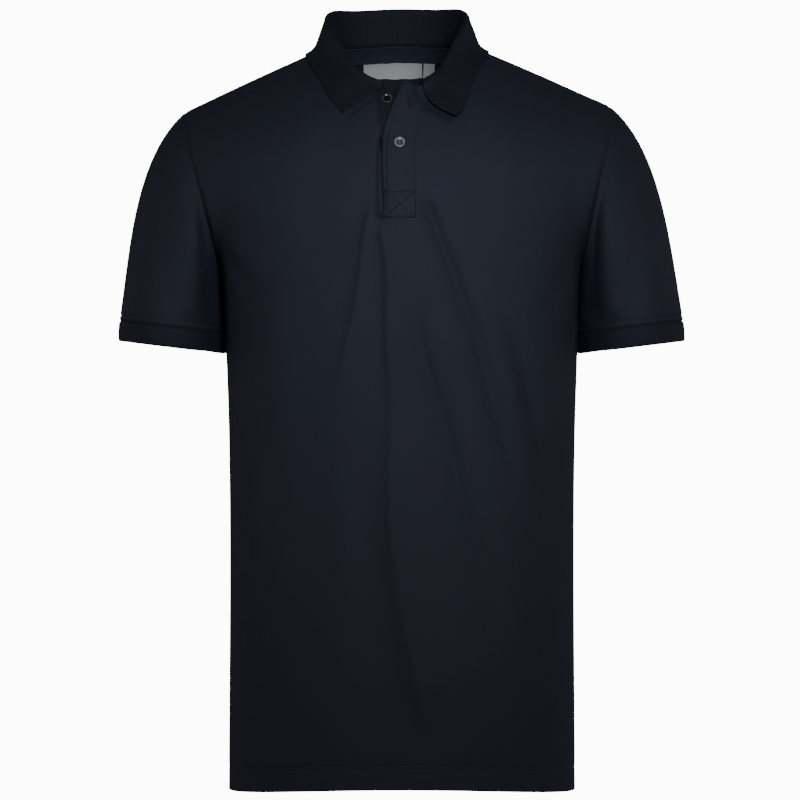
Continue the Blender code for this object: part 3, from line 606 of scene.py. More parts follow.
def cloth_ripple(points: Array, pitch: float, phase: float) -> Array:
    """Gentle unevenness of hung cloth, between -1 and 1.

    Args:
        points: Points of a panel.
        pitch: About how far apart its swells are, in millimetres.
        phase: Tells one panel's unevenness from another's.

    Returns:
        A height for each point.
    """
    x, y, z = points[..., 0] / pitch, points[..., 1] / pitch, points[..., 2] / pitch
    waves = np.sin(6.1 * x + 1.3 * z + phase) + np.sin(4.3 * x - 2.2 * z + 1.7 * y + 2.1 * phase)
    return (waves + np.sin(3.7 * z + 2.9 * y + 0.8 * phase) * np.cos(2.6 * x - phase)) / 3.0


# ------------------------------
# The torso bag.


class TorsoForm:
    """The smooth bag that every piece is drawn on.

    across is -1 and 1 on the side seams and the armholes, and level runs from 0 at the front hem over 1 on
    the shoulder ridge to 2 at the back hem.
    """

    def __init__(self) -> None:
        """Finds how far across the neck hole reaches."""
        self.neck_across = float(self.across_at(NECK_HALF_WIDTH, 1.0))

    def middles(self, level: Array) -> Array:
        """y and z of the middle of the front and back at these levels."""
        return round_spline(TORSO_ROWS, 2, level)

    def sides(self, level: Array) -> Array:
        """Outer ends of the rows: the side seam below the underarm, the armhole above it."""
        folded = np.minimum(level, 2.0 - level)
        armhole = round_spline(ARMHOLE_ROWS, 3, level)
        return np.where((folded <= UNDERARM_LEVEL)[..., None], row_spline(SIDE_ROWS, folded), armhole)

    def settings(self, level: Array) -> tuple[Array, Array, Array]:
        """Squareness, droop and end angle of the rows at these levels."""
        values = row_spline(TORSO_ROWS, np.minimum(level, 2.0 - level))
        return values[..., 4], values[..., 5], np.radians(np.minimum(values[..., 6], 90.0))

    def point(self, across: Array, level: Array) -> Array:
        """Points of the bag.

        Args:
            across: Places across it.
            level: Places up its front and down its back.

        Returns:
            A point for each place.
        """
        across, level = np.broadcast_arrays(np.asarray(across, float), np.asarray(level, float))
        middle = self.middles(level)
        side = self.sides(level)
        square, droop, turn = self.settings(level)
        sine = np.sin(np.abs(across) * turn)
        share = np.clip(sine / np.sin(turn), 0.0, 1.0)
        bulge = np.maximum(1.0 - sine ** square, 0.0) ** (1.0 / square)
        bulge_end = np.maximum(1.0 - np.sin(turn) ** square, 0.0) ** (1.0 / square)
        depth = np.clip((bulge - bulge_end) / (1.0 - bulge_end), 0.0, 1.0)
        soft = RIDGE_SOFTNESS ** droop
        whole = (1.0 + RIDGE_SOFTNESS ** 2) ** (0.5 * droop)
        fall = ((share * share + RIDGE_SOFTNESS ** 2) ** (0.5 * droop) - soft) / (whole - soft)
        x = np.sign(across) * side[..., 0] * share
        y = side[..., 1] + (middle[..., 0] - side[..., 1]) * depth
        z = middle[..., 1] + (side[..., 2] - middle[..., 1]) * fall
        return np.stack((x, y, z), axis=-1)

    def across_at(self, x: Array, level: Array) -> Array:
        """How far across a row a given x lies."""
        level = np.asarray(level, dtype=float)
        turn = self.settings(level)[2]
        sine = np.clip(np.abs(x) / self.sides(level)[..., 0], 0.0, 1.0) * np.sin(turn)
        return np.sign(x) * np.arcsin(sine) / turn

    def place(self, x: Array, z: Array, back: bool = False) -> tuple[Array, Array]:
        """Where on the bag a point lies that is known from the front.

        Args:
            x: How far it is to the left.
            z: How high it is.
            back: Whether it lies on the back.

        Returns:
            Its place across and its level.
        """
        x, z = np.broadcast_arrays(np.asarray(x, float), np.asarray(z, float))
        low = np.full(x.shape, 0.05)
        high = np.full(x.shape, 0.995)
        for _ in range(HALVINGS):
            folded = 0.5 * (low + high)
            level = 2.0 - folded if back else folded
            height = self.point(self.across_at(x, level), level)[..., 2]
            low = np.where(height < z, folded, low)
            high = np.where(height < z, high, folded)
        level = 2.0 - low if back else low
        return self.across_at(x, level), level

    def neck_level(self, across: Array, middle_level: float) -> Array:
        """Level of the neck hole's edge, from its middle out to the shoulder ridge."""
        share = np.clip(np.abs(across) / self.neck_across, 0.0, 1.0)
        return 1.0 - (1.0 - middle_level) * np.sqrt(1.0 - share * share)


# ------------------------------
# Shader groups and finishes.


class NodeKit:
    """Short ways to add shader nodes to one tree."""

    def __init__(self, tree: bpy.types.NodeTree) -> None:
        """Keeps the tree.

        Args:
            tree: A material's tree or a node group.
        """
        self.tree = tree

    def add(self, kind: str, inputs: dict | None = None, **settings: object) -> bpy.types.Node:
        """A node with its settings made and its inputs set or linked.

        Args:
            kind: The node's type.
            inputs: Socket name or number, and a value or another node's socket.
            **settings: Properties of the node.

        Returns:
            The node.
        """
        node = self.tree.nodes.new(kind)
        for name, value in settings.items():
            setattr(node, name, value)
        self.fill(node, inputs or {})
        return node

    def fill(self, node: bpy.types.Node, inputs: dict) -> None:
        """Sets or links a node's inputs, given by socket names or numbers."""
        for socket, value in inputs.items():
            if isinstance(value, bpy.types.NodeSocket):
                self.tree.links.new(value, node.inputs[socket])
            else:
                node.inputs[socket].default_value = value

    def math(self, operation: str, *values: object) -> bpy.types.NodeSocket:
        """The result of a Math node."""
        return self.add("ShaderNodeMath", dict(enumerate(values)), operation=operation).outputs[0]

    def mix(self, factor: object, first: object, second: object, blend: str = "MIX") -> bpy.types.NodeSocket:
        """Two colours in one."""
        inputs = {"Factor": factor, 6: first, 7: second}
        return self.add("ShaderNodeMix", inputs, data_type="RGBA", blend_type=blend).outputs[2]

    def noise(self, scale: float, detail: float) -> bpy.types.Node:
        """Noise in object coordinates."""
        return self.add("ShaderNodeTexNoise", {"Vector": self.places(), "Scale": scale, "Detail": detail})

    def places(self) -> bpy.types.NodeSocket:
        """Object coordinates."""
        return self.add("ShaderNodeTexCoord").outputs["Object"]

    def bump(self, height: bpy.types.NodeSocket, relief: float) -> bpy.types.NodeSocket:
        """Normals of a surface with this relief, in millimetres."""
        return self.add("ShaderNodeBump", {"Height": height, "Distance": relief * MM}).outputs["Normal"]


def new_material(name: str) -> tuple[bpy.types.Material, NodeKit, bpy.types.Node]:
    """A new material, a kit for its tree and its surface node."""
    made = bpy.data.materials.new(name)
    made.use_nodes = True
    return made, NodeKit(made.node_tree), made.node_tree.nodes["Principled BSDF"]


def new_group(
    name: str, inputs: dict[str, float], outputs: Sequence[str]
) -> tuple[NodeKit, bpy.types.Node, bpy.types.Node]:
    """An empty shader group.

    Args:
        name: The group's name.
        inputs: Names and values of its number inputs.
        outputs: Names of its number outputs.

    Returns:
        A kit for its tree, its input node and its output node.
    """
    tree = bpy.data.node_groups.new(name, "ShaderNodeTree")
    for label, value in inputs.items():
        socket = tree.interface.new_socket(name=label, in_out="INPUT", socket_type="NodeSocketFloat")
        socket.default_value = value
    for label in outputs:
        tree.interface.new_socket(name=label, in_out="OUTPUT", socket_type="NodeSocketFloat")
    kit = NodeKit(tree)
    return kit, kit.add("NodeGroupInput"), kit.add("NodeGroupOutput")


class ClothEffects:
    """The shader groups that the cloths share. Each is built once."""

    def __init__(self) -> None:
        """Builds the groups."""
        self.cells = self.knit("pique_cells", 900.0, self.pique_pattern)
        self.ribs = self.knit("rib_ridges", 800.0, self.rib_pattern)
        self.shade = self.uneven_shade()

    @staticmethod
    def flat_places(kit: NodeKit, given: bpy.types.Node) -> list[bpy.types.NodeSocket]:
        """Turns across and along the cloth, counted in its own repeats, as angles.

        Args:
            given: The group's input node.

        Returns:
            Both angles.
        """
        flat = kit.add("ShaderNodeUVMap", uv_map="cloth").outputs[0]
        drift = {0: kit.noise(160.0, 2.0).outputs[1], "Scale": 0.0022}
        drift = kit.add("ShaderNodeVectorMath", drift, operation="SCALE").outputs[0]
        places = kit.add("ShaderNodeVectorMath", {0: flat, 1: drift}, operation="ADD").outputs[0]
        apart = kit.add("ShaderNodeSeparateXYZ", {0: places})
        turns = []
        for axis, pitch in ((0, "Pitch Across"), (1, "Pitch Along")):
            count = kit.math("DIVIDE", apart.outputs[axis], given.outputs[pitch])
            turns.append(kit.math("MULTIPLY", count, 2.0 * math.pi))
        return turns

    def knit(self, name: str, yarn_scale: float, pattern: Callable) -> bpy.types.NodeTree:
        """A group for a knit: the height of its surface, with uneven yarn, and a mask of its pits, which
        paints shade into them.

        Args:
            name: The group's name.
            yarn_scale: How fine the yarn's unevenness is.
            pattern: Gives the surface and the pits from a kit and both angles.

        Returns:
            The group.
        """
        inputs = {"Pitch Across": MM, "Pitch Along": MM, "Unevenness": 0.3}
        kit, given, put = new_group(name, inputs, ("Height", "Pit"))
        raised, pit = pattern(kit, *self.flat_places(kit, given))
        yarn = kit.math("SUBTRACT", kit.noise(yarn_scale, 1.0).outputs[0], 0.5)
        fuzz = kit.math("MULTIPLY", yarn, given.outputs["Unevenness"])
        kit.fill(put, {"Height": kit.math("ADD", raised, fuzz), "Pit": pit})
        return kit.tree

    @staticmethod
    def pique_pattern(kit: NodeKit, across: object, along: object) -> tuple[object, object]:
        """Pique: small pits in a staggered lattice."""
        lattice = kit.math("MULTIPLY", kit.math("COSINE", across), kit.math("COSINE", along))
        raised = kit.math("MULTIPLY_ADD", lattice, 0.5, 0.5)
        return raised, kit.math("POWER", kit.math("SUBTRACT", 1.0, raised), 2.0)

    @staticmethod
    def rib_pattern(kit: NodeKit, across: object, along: object) -> tuple[object, object]:
        """Flat-knit rib: ridges along the cloth, each with its column of small loops."""
        ridge = kit.math("COSINE", across)
        aside = kit.math("ABSOLUTE", kit.math("SINE", across))
        skewed = kit.math("ADD", along, kit.math("MULTIPLY", aside, 2.2))
        loops = kit.math("MULTIPLY", kit.math("COSINE", skewed), 0.14)
        raised = kit.math("ADD", kit.math("MULTIPLY", ridge, 0.36), kit.math("ADD", loops, 0.5))
        return raised, kit.math("SUBTRACT", 1.0, raised)

    @staticmethod
    def uneven_shade() -> bpy.types.NodeTree:
        """Slow changes of shade in dyed cloth, and a little pale lint."""
        kit, given, put = new_group("uneven_shade", {"Amount": 0.1, "Lint": 0.2}, ("Shade", "Lint"))
        slow = kit.math("SUBTRACT", kit.noise(22.0, 3.0).outputs[0], 0.5)
        shade = kit.math("MULTIPLY", slow, given.outputs["Amount"])
        few = kit.math("MULTIPLY", kit.math("SUBTRACT", kit.noise(650.0, 2.0).outputs[0], 0.66), 9.0)
        lint = kit.math("MULTIPLY", few, given.outputs["Lint"])
        lint.node.use_clamp = True
        kit.fill(put, {"Shade": kit.math("ADD", shade, 1.0), "Lint": lint})
        return kit.tree


class Weave(Enum):
    """How a cloth is made."""

    CELLS = "cells"
    RIBS = "ribs"


@dataclass(frozen=True)
class ClothFinish:
    """A knitted or woven cloth. Pitches and relief are in millimetres."""

    name: str
    colour: tuple[float, float, float]
    weave: Weave
    pitch_across: float
    pitch_along: float
    relief: float
    # painted_pit_shade darkens the knit's pits and the gaps between its ribs: painted shade in the recesses.
    painted_pit_shade: float = 0.45
    roughness: float = 0.66
    specular: float = 0.3
    specular_tint: tuple[float, float, float] = (0.76, 0.83, 1.0)
    sheen: float = 0.02
    sheen_tint: tuple[float, float, float] = (0.45, 0.6, 0.85)
    unevenness: float = 0.35
    shade_change: float = 0.12
    lint: float = 0.012

    def material(self, effects: ClothEffects) -> bpy.types.Material:
        """The cloth's material.

        Args:
            effects: The shared shader groups.

        Returns:
            A new material.
        """
        made, kit, cloth = new_material(self.name)
        pitches = {"Pitch Across": self.pitch_across * MM, "Pitch Along": self.pitch_along * MM}
        knit = kit.add(
            "ShaderNodeGroup",
            {**pitches, "Unevenness": self.unevenness},
            node_tree=effects.cells if self.weave is Weave.CELLS else effects.ribs,
        )
        amounts = {"Amount": self.shade_change, "Lint": self.lint}
        shade = kit.add("ShaderNodeGroup", amounts, node_tree=effects.shade)
        # Painted shade: the pit mask darkens the dyed colour.
        dark = kit.math("MULTIPLY_ADD", knit.outputs["Pit"], -self.painted_pit_shade, 1.0)
        tone = kit.math("MULTIPLY", dark, shade.outputs["Shade"])
        dyed = kit.add("ShaderNodeVectorMath", {0: self.colour, "Scale": tone}, operation="SCALE").outputs[0]
        kit.fill(cloth, {
            "Base Color": kit.mix(shade.outputs["Lint"], dyed, LINT_COLOUR),
            "Normal": kit.bump(knit.outputs["Height"], self.relief),
            "Roughness": self.roughness,
            "Specular IOR Level": self.specular,
            "Specular Tint": (*self.specular_tint, 1.0),
            "Sheen Weight": self.sheen,
            "Sheen Roughness": 0.5,
            "Sheen Tint": (*self.sheen_tint, 1.0),
        })
        return made


@dataclass(frozen=True)
class ThreadFinish:
    """Sewing thread, with the twist of its plies."""

    name: str
    colour: tuple[float, float, float]
    roughness: float = 0.6

    def material(self) -> bpy.types.Material:
        """The thread's material."""
        made, kit, thread = new_material(self.name)
        plies = kit.add("ShaderNodeTexWave", {"Vector": kit.places(), "Scale": 900.0, "Distortion": 1.5})
        plies = plies.outputs["Fac"]
        shaded = (*(0.6 * part for part in self.colour), 1.0)
        kit.fill(thread, {
            "Base Color": kit.mix(plies, shaded, (*self.colour, 1.0)),
            "Normal": kit.bump(plies, 0.05),
            "Roughness": self.roughness,
        })
        return made


@dataclass(frozen=True)
class ButtonFinish:
    """Polished casein with faint clouding, duller where it is rubbed.

    rim and dish scale the colour on the raised rim and in the hollow in the middle: the darker hollow is
    painted shade, and the darkened outer edge is a painted contact shadow.
    """

    name: str
    colour: tuple[float, float, float]
    cloud: tuple[float, float, float]
    rim: tuple[float, float, float]
    dish: tuple[float, float, float]

    def material(self) -> bpy.types.Material:
        """The button's material."""
        made, kit, shell = new_material(self.name)
        cloudy = kit.noise(260.0, 3.0).outputs[0]
        clouded = kit.mix(cloudy, (*self.colour, 1.0), (*self.cloud, 1.0))
        rubbed = kit.noise(1400.0, 2.0).outputs[0]
        # Painted shade by distance from the middle: darker in the dish, and a painted contact shadow at the
        # outer edge.
        reach = kit.add("ShaderNodeAttribute", attribute_name="reach").outputs["Fac"]
        painted_shade_ramp = kit.add("ShaderNodeValToRGB", {"Fac": reach}).outputs[0]
        bands = painted_shade_ramp.node.color_ramp.elements
        bands[0].position, bands[0].color = 0.68, (*self.dish, 1.0)
        bands[1].position, bands[1].color = 0.78, (*self.rim, 1.0)
        edge = bands.new(0.93)
        edge.color = (*self.rim, 1.0)
        outside = bands.new(0.985)
        outside.color = (*(0.25 * part for part in self.rim), 1.0)
        kit.fill(shell, {
            "Base Color": kit.mix(1.0, clouded, painted_shade_ramp, "MULTIPLY"),
            "Roughness": kit.math("MULTIPLY_ADD", rubbed, 0.3, 0.12),
            "Coat Weight": 0.4,
        })
        return made


NAVY = (0.0168, 0.0196, 0.0330)
PIQUE_FINISH = ClothFinish("navy_pique", NAVY, Weave.CELLS, 1.25, 1.05, 0.16)
RIB_FINISH = ClothFinish("navy_rib", (0.0098, 0.0122, 0.0200), Weave.RIBS, 1.35, 1.1, 0.24)
# The same navy pique, darker: painted shade for the under band, which lies in shadow beside the upper band's
# free edge.
SHADED_PIQUE_FINISH = ClothFinish("navy_pique_inner", (0.0100, 0.0118, 0.0200), Weave.CELLS, 1.25, 1.05, 0.16)
# The tape's navy is lighter than the shirt's: painted light for the inside of the back neck, which the lamps
# barely reach.
TAPE_PAINTED_LIGHT_FINISH = ClothFinish("navy_tape", (0.031, 0.039, 0.064), Weave.CELLS, 0.7, 0.35, 0.06, painted_pit_shade=0.2)
LABEL_FINISH = ClothFinish(
    "pale_label", (0.55, 0.56, 0.57), Weave.CELLS, 0.5, 0.22, 0.04,
    painted_pit_shade=0.12, roughness=0.7, sheen_tint=(1.0, 1.0, 1.0), shade_change=0.06, lint=0.0,
)
THREAD_FINISH = ThreadFinish("navy_thread", (0.009, 0.011, 0.019))
# Navy thread darkened to near black: painted shade for the box's pressed lines and for the buttonhole under
# the collar's front edge.
SHADED_THREAD_FINISH = ThreadFinish("dark_navy_thread", (0.003, 0.0035, 0.006), 0.8)
PALE_THREAD_FINISH = ThreadFinish("pale_thread", (0.42, 0.43, 0.45))
# The last colour of each button darkens its dish: painted shade.
GREY_BUTTON = ButtonFinish(
    "grey_lilac_casein", (0.36, 0.35, 0.42), (0.22, 0.21, 0.27), (0.8, 0.8, 0.85), (0.3, 0.3, 0.34)
)
DARK_BUTTON = ButtonFinish(
    "dark_casein", (0.004, 0.004, 0.006), (0.15, 0.155, 0.18), (0.8, 0.8, 0.8), (0.03, 0.03, 0.035)
)


@dataclass
class Wardrobe:
    """Every finish as a material, made once."""

    effects: ClothEffects = field(default_factory=ClothEffects)

    def __post_init__(self) -> None:
        """Makes the materials."""
        self.pique = PIQUE_FINISH.material(self.effects)
        self.inner = SHADED_PIQUE_FINISH.material(self.effects)
        self.rib = RIB_FINISH.material(self.effects)
        self.tape = TAPE_PAINTED_LIGHT_FINISH.material(self.effects)
        self.label = LABEL_FINISH.material(self.effects)
        self.thread = THREAD_FINISH.material()
        self.shaded_thread = SHADED_THREAD_FINISH.material()
        self.pale_thread = PALE_THREAD_FINISH.material()
        self.grey_button = GREY_BUTTON.material()
        self.dark_button = DARK_BUTTON.material()


# ------------------------------
# Making pieces.


def put_in_scene(name: str, data: bpy.types.ID) -> bpy.types.Object:
    """A new object in the scene."""
    made = bpy.data.objects.new(name, data)
    bpy.context.scene.collection.objects.link(made)
    return made


def new_mesh(name: str, work: bmesh.types.BMesh) -> bpy.types.Mesh:
    """A mesh of what was worked out in a bmesh, which is freed."""
    mesh = bpy.data.meshes.new(name)
    work.to_mesh(mesh)
    work.free()
    return mesh


def new_piece(mesh: bpy.types.Mesh, material: bpy.types.Material) -> bpy.types.Object:
    """A mesh as a piece of its name that rides on the shirt's body."""
    mesh.materials.append(material)
    piece = put_in_scene(mesh.name, mesh)
    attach(piece, BODY)
    return piece


def read_numbers(items: bpy.types.bpy_prop_collection, name: str) -> Array:
    """One whole number of each item of a mesh."""
    values = np.zeros(len(items), dtype=np.int32)
    items.foreach_get(name, values)
    return values


@dataclass
class ClothWall:
    """Cloth as a closed wall: a face, a reverse and a rim round every edge.

    face and reverse are grids in the cut frame, rows up and columns to the right, seen from outside.
    """

    name: str
    face: Array
    reverse: Array
    keep: Array | None = None
    closed: bool = False

    def flat_places(self) -> Array:
        """Where each point lies on the flat cloth, in metres, with one column more where it is closed."""
        points = self.face
        if self.closed:
            points = np.concatenate((points, points[:, :1]), axis=1)
        middle = points.shape[1] // 2
        across = run_lengths(points, 1)
        along = run_lengths(points, 0)
        if self.closed:
            across = across / across[:, -1:] * across[0, -1]
            along = np.broadcast_to(along.mean(axis=1, keepdims=True), along.shape)
        else:
            across = across - across[:, middle : middle + 1]
        return np.stack((across, along), axis=-1) * MM

    def build(self, material: bpy.types.Material) -> bpy.types.Object:
        """The piece.

        Args:
            material: Its finish.

        Returns:
            A new object.
        """
        rows, columns = self.face.shape[:2]
        spans = columns if self.closed else columns - 1
        work = bmesh.new()
        bmesh.ops.create_grid(work, x_segments=spans, y_segments=rows - 1, size=1.0)
        place = work.verts.layers.int.new("place")
        raised = work.verts.layers.int.new("raised")
        for number, vertex in enumerate(work.verts):
            vertex[place] = number
        if self.keep is not None:
            gone = []
            for cell in work.faces:
                first = min(corner[place] for corner in cell.verts)
                if not self.keep[first // (spans + 1), first % (spans + 1)]:
                    gone.append(cell)
            bmesh.ops.delete(work, geom=gone, context="FACES")
        if self.closed:
            work.verts.ensure_lookup_table()
            joins = {}
            for row in range(rows):
                joins[work.verts[row * (spans + 1) + spans]] = work.verts[row * (spans + 1)]
            bmesh.ops.weld_verts(work, targetmap=joins)
        drawn = bmesh.ops.extrude_face_region(work, geom=work.faces[:], use_keep_orig=True)
        for item in drawn["geom"]:
            if isinstance(item, bmesh.types.BMVert):
                item[raised] = 1
        mesh = new_mesh(self.name, work)
        self.put_in_place(mesh, spans + 1)
        mesh.shade_smooth()
        mesh.set_sharp_from_angle(angle=math.radians(65.0))
        return new_piece(mesh, material)

    def put_in_place(self, mesh: bpy.types.Mesh, stride: int) -> None:
        """Moves the mesh's points to the cloth's and lays its flat places out as a UV map.

        Args:
            mesh: The wall's mesh, still flat.
            stride: How many points a row of it had.
        """
        number = read_numbers(mesh.attributes["place"].data, "value")
        raised = read_numbers(mesh.attributes["raised"].data, "value")
        row, column = number // stride, number % stride
        points = np.where(raised[:, None] == 1, self.face[row, column], self.reverse[row, column])
        mesh.vertices.foreach_set("co", stand_up(points).astype(np.float32).ravel())
        corner = read_numbers(mesh.loops, "vertex_index")
        start = read_numbers(mesh.polygons, "loop_start")
        corner_column = column[corner]
        if self.closed:
            widest = np.maximum.reduceat(corner_column, start)
            sizes = np.diff(np.append(start, len(corner)))
            wraps = np.repeat(widest, sizes) - corner_column > stride // 2
            corner_column = np.where(wraps, stride - 1, corner_column)
        places = self.flat_places()[row[corner], corner_column]
        chart = mesh.uv_layers.new(name="cloth")
        chart.data.foreach_set("uv", places.astype(np.float32).ravel())
        for name in ("place", "raised"):
            mesh.attributes.remove(mesh.attributes[name])
        mesh.update()


def pinch(face: Array, reverse: Array, index: tuple, share: float) -> None:
    """Draws both sides of a cloth's edge together, so that the edge is rounded."""
    middle = 0.5 * (face[index] + reverse[index])
    face[index] += (middle - face[index]) * share
    reverse[index] += (middle - reverse[index]) * share


@dataclass
class Seam:
    """Lockstitches along lines on the cloth, as one joined mesh."""

    name: str
    stitch: float = 2.6
    space: float = 0.5
    thickness: float = 0.42
    lines: list[tuple[Array, Array]] = field(default_factory=list)

    def run(self, line: Array, normals: Array, sink: float = 0.05) -> None:
        """Adds a line of stitches.

        Args:
            line: Points along it, on the face of the cloth.
            normals: The cloth's normals there.
            sink: How deep the thread is drawn in.
        """
        self.lines.append((line - normals * sink, normals))

    def template(self) -> tuple[Array, list[tuple[int, ...]]]:
        """Points and faces of one stitch, one unit long and one unit thick."""
        work = bmesh.new()
        bmesh.ops.create_uvsphere(work, u_segments=6, v_segments=5, radius=0.5)
        points = np.array([vertex.co[:] for vertex in work.verts])
        faces = [tuple(vertex.index for vertex in cell.verts) for cell in work.faces]
        work.free()
        return points, faces

    def build(self, material: bpy.types.Material) -> bpy.types.Object:
        """The seam.

        Args:
            material: The thread.

        Returns:
            A new object.
        """
        shape, shape_faces = self.template()
        points = []
        for line, normals in self.lines:
            run = run_lengths(line, 0)
            count = max(1, int(run[-1] / (self.stitch + self.space)))
            centres = (np.arange(count) + 0.5) * run[-1] / count
            ends = []
            for shift in (-0.5, 0.0, 0.5):
                ends.append(points_at(line, run, centres + shift * self.stitch))
            up = unit(points_at(normals, run, centres))
            heading = unit(ends[2] - ends[0])
            aside = unit(np.cross(up, heading))
            up = np.cross(heading, aside)
            placed = ends[1][:, None]
            for axis, size in enumerate((self.thickness, self.thickness, self.stitch)):
                placed = placed + shape[None, :, axis : axis + 1] * size * (aside, up, heading)[axis][:, None]
            points.append(placed.reshape(-1, 3))
        points = np.concatenate(points)
        starts = range(0, len(points), len(shape))
        faces = [tuple(start + index for index in cell) for start in starts for cell in shape_faces]
        mesh = bpy.data.meshes.new(self.name)
        mesh.from_pydata(stand_up(points).tolist(), [], faces)
        mesh.shade_smooth()
        return new_piece(mesh, material)


# ------------------------------
# Sub-assemblies.


@dataclass
class Torso:
    """The front and back panels, with their hem and the grooves of their seams.

    underarm_calm is how far up and down the underarm row is softened, and calm_spread is how strongly.
    """

    wardrobe: Wardrobe
    form: TorsoForm
    neck_columns: int = 34
    shoulder_columns: int = 54
    centre_columns: int = 9
    body_rows: int = 104
    armhole_steps: int = 58
    slot_bottom_step: float = 5.0 / 12.0
    underarm_height: float = 530.0
    armhole_rise: float = 200.0
    panel_half_width: float = 190.0
    hem_depth: float = 22.0
    hem_twin: float = 3.2
    hem_groove: float = 0.42
    groove_width: float = 1.1
    seam_dip: float = 0.9
    seam_width: float = 1.7
    edge_calm: float = 0.1
    ripple_pitch: float = 190.0
    ripple_height: float = 0.55
    hem_ripple_pitch: float = 58.0
    hem_ripple_height: float = 0.45
    hem_ripple_reach: float = 42.0
    turned_hem: float = 0.85
    underarm_calm: float = 100.0
    calm_spread: float = 7000.0

    def __post_init__(self) -> None:
        """Draws both panels."""
        self.row_steps = self.make_row_steps()
        self.underarm_row = int(np.argmin(np.abs(self.row_steps)))
        self.slot_row = int(np.argmin(np.abs(self.row_steps - self.slot_bottom_step)))
        self.row_steps[self.slot_row] = self.slot_bottom_step
        front_across, front_level, self.front_keep = self.front_places()
        back_across, back_level = self.back_places()
        self.front = self.draw(front_across, front_level, FRONT_CREASES, 0.4)
        self.back = self.draw(back_across, back_level, BACK_CREASES, 2.3)
        self.front_normals = grid_normals(self.front)
        self.back_normals = grid_normals(self.back)
        self.front_across = front_across
        self.back_across = back_across
        self.share_seams()

    def make_row_steps(self) -> Array:
        """Share of the way from the underarm to the top edge, for every row. It is negative below."""
        hem = [0.0, 0.5, 1.2, 2.4, 4.5, 8.0, 12.0, 16.0, 19.0]
        low = self.hem_depth - 2.0
        while low < self.hem_depth + self.hem_twin + 2.5:
            hem.append(low)
            low += 0.65
        below = end_spaced(self.underarm_height, hem, (0.0,), self.body_rows) - 1.0
        above = end_spaced(self.armhole_rise, (0.0,), SEAM_STEPS, self.armhole_steps)
        return np.concatenate((below[:-1], above))

    def column_levels(self, top_level: float) -> Array:
        """Levels of one column's points."""
        upper = UNDERARM_LEVEL + (top_level - UNDERARM_LEVEL) * self.row_steps
        return np.where(self.row_steps < 0.0, UNDERARM_LEVEL * (1.0 + self.row_steps), upper)

    def shoulder_shares(self) -> Array:
        """Shares of the way from the neck point to the armhole, close together at the armhole."""
        return end_spaced(self.panel_half_width, (0.0,), SEAM_STEPS, self.shoulder_columns)[1:]

    def neck_shares(self, number: int) -> Array:
        """Share of the way from the middle to the neck point, for one column and every row.

        The columns are evenly spaced low down and follow the neck hole's curve at the top.
        """
        even = number / self.neck_columns
        curved = math.sin(0.5 * math.pi * even)
        return even + (curved - even) * smooth_share(self.row_steps)

    @staticmethod
    def slot_edges(z: Array) -> tuple[Array, Array]:
        """Where the front is cut for the bands of the neck opening, left and right of its middle."""
        edges = band_edges(z)
        return edges[..., 0] + BAND_OVERLAP, edges[..., 3] - BAND_OVERLAP

    def half_columns(self, slot: Array | float, middle_level: float) -> list[tuple[Array, Array]]:
        """Columns of half a panel, from its middle or the edge of the neck opening to the armhole.

        Args:
            slot: How far across that edge lies, for every row.
            middle_level: Level of the neck hole in the middle of the panel.

        Returns:
            Across and level of each column's points.
        """
        neck = self.form.neck_across
        columns = []
        for number in range(self.neck_columns + 1):
            across = slot + (neck - slot) * self.neck_shares(number)
            top = float(self.form.neck_level(across[-1], middle_level))
            columns.append((across, self.column_levels(top)))
        for share in self.shoulder_shares():
            across = np.full(self.row_steps.shape, neck + (1.0 - neck) * share)
            columns.append((across, self.column_levels(1.0)))
        return columns

    def front_places(self) -> tuple[Array, Array, Array]:
        """Across and level of the front's points, and which of its cells are cloth."""
        form = self.form
        middle_levels = self.column_levels(FRONT_NECK_LEVEL)
        middle_z = form.point(0.0, middle_levels)[:, 2]
        slot_z = np.maximum(middle_z, middle_z[self.slot_row])
        edges = [np.abs(form.across_at(edge, middle_levels)) for edge in self.slot_edges(slot_z)]
        left, right = (self.half_columns(slot, FRONT_NECK_LEVEL) for slot in edges)
        centre = []
        for number in range(1, self.centre_columns):
            share = number / self.centre_columns
            centre.append((-edges[0] + (edges[1] + edges[0]) * share, middle_levels))
        columns = [(-across, level) for across, level in left[::-1]] + centre + right
        across, level = (np.stack(grids, axis=1) for grids in zip(*columns))
        keep = np.ones((across.shape[0] - 1, across.shape[1] - 1), dtype=bool)
        first = len(left) - 1
        keep[self.slot_row :, first : first + self.centre_columns] = False
        return across, level, keep

    def back_places(self) -> tuple[Array, Array]:
        """Across and level of the back's points, from the wearer's left to the right."""
        half = self.half_columns(0.0, BACK_NECK_LEVEL)
        columns = half[:0:-1] + [(-across, level) for across, level in half]
        across, level = (np.stack(grids, axis=1) for grids in zip(*columns))
        return across, 2.0 - level

    def draw(self, across: Array, level: Array, creases: Sequence[Crease], phase: float) -> Array:
        """A panel's face, with its creases.

        Args:
            across: Places across the torso.
            level: Places up it.
            creases: The panel's creases.
            phase: Tells this panel's unevenness from the other's.

        Returns:
            The grid of its points.
        """
        points = self.calm_underarm(self.form.point(across, level), across)
        normals = grid_normals(points)
        calm = smooth_share((1.0 - np.abs(across)) / self.edge_calm)
        lift = crease_lift(points, creases) * calm
        lift += cloth_ripple(points, self.ripple_pitch, phase) * self.ripple_height * calm
        above_hem = run_lengths(points, 0)
        near_hem = smooth_share((self.hem_ripple_reach - above_hem) / 30.0)
        near_hem = near_hem * np.clip(above_hem / 6.0, 0.35, 1.0)
        lift += cloth_ripple(points, self.hem_ripple_pitch, 3.0 + phase) * self.hem_ripple_height * near_hem
        return points + normals * lift[..., None]

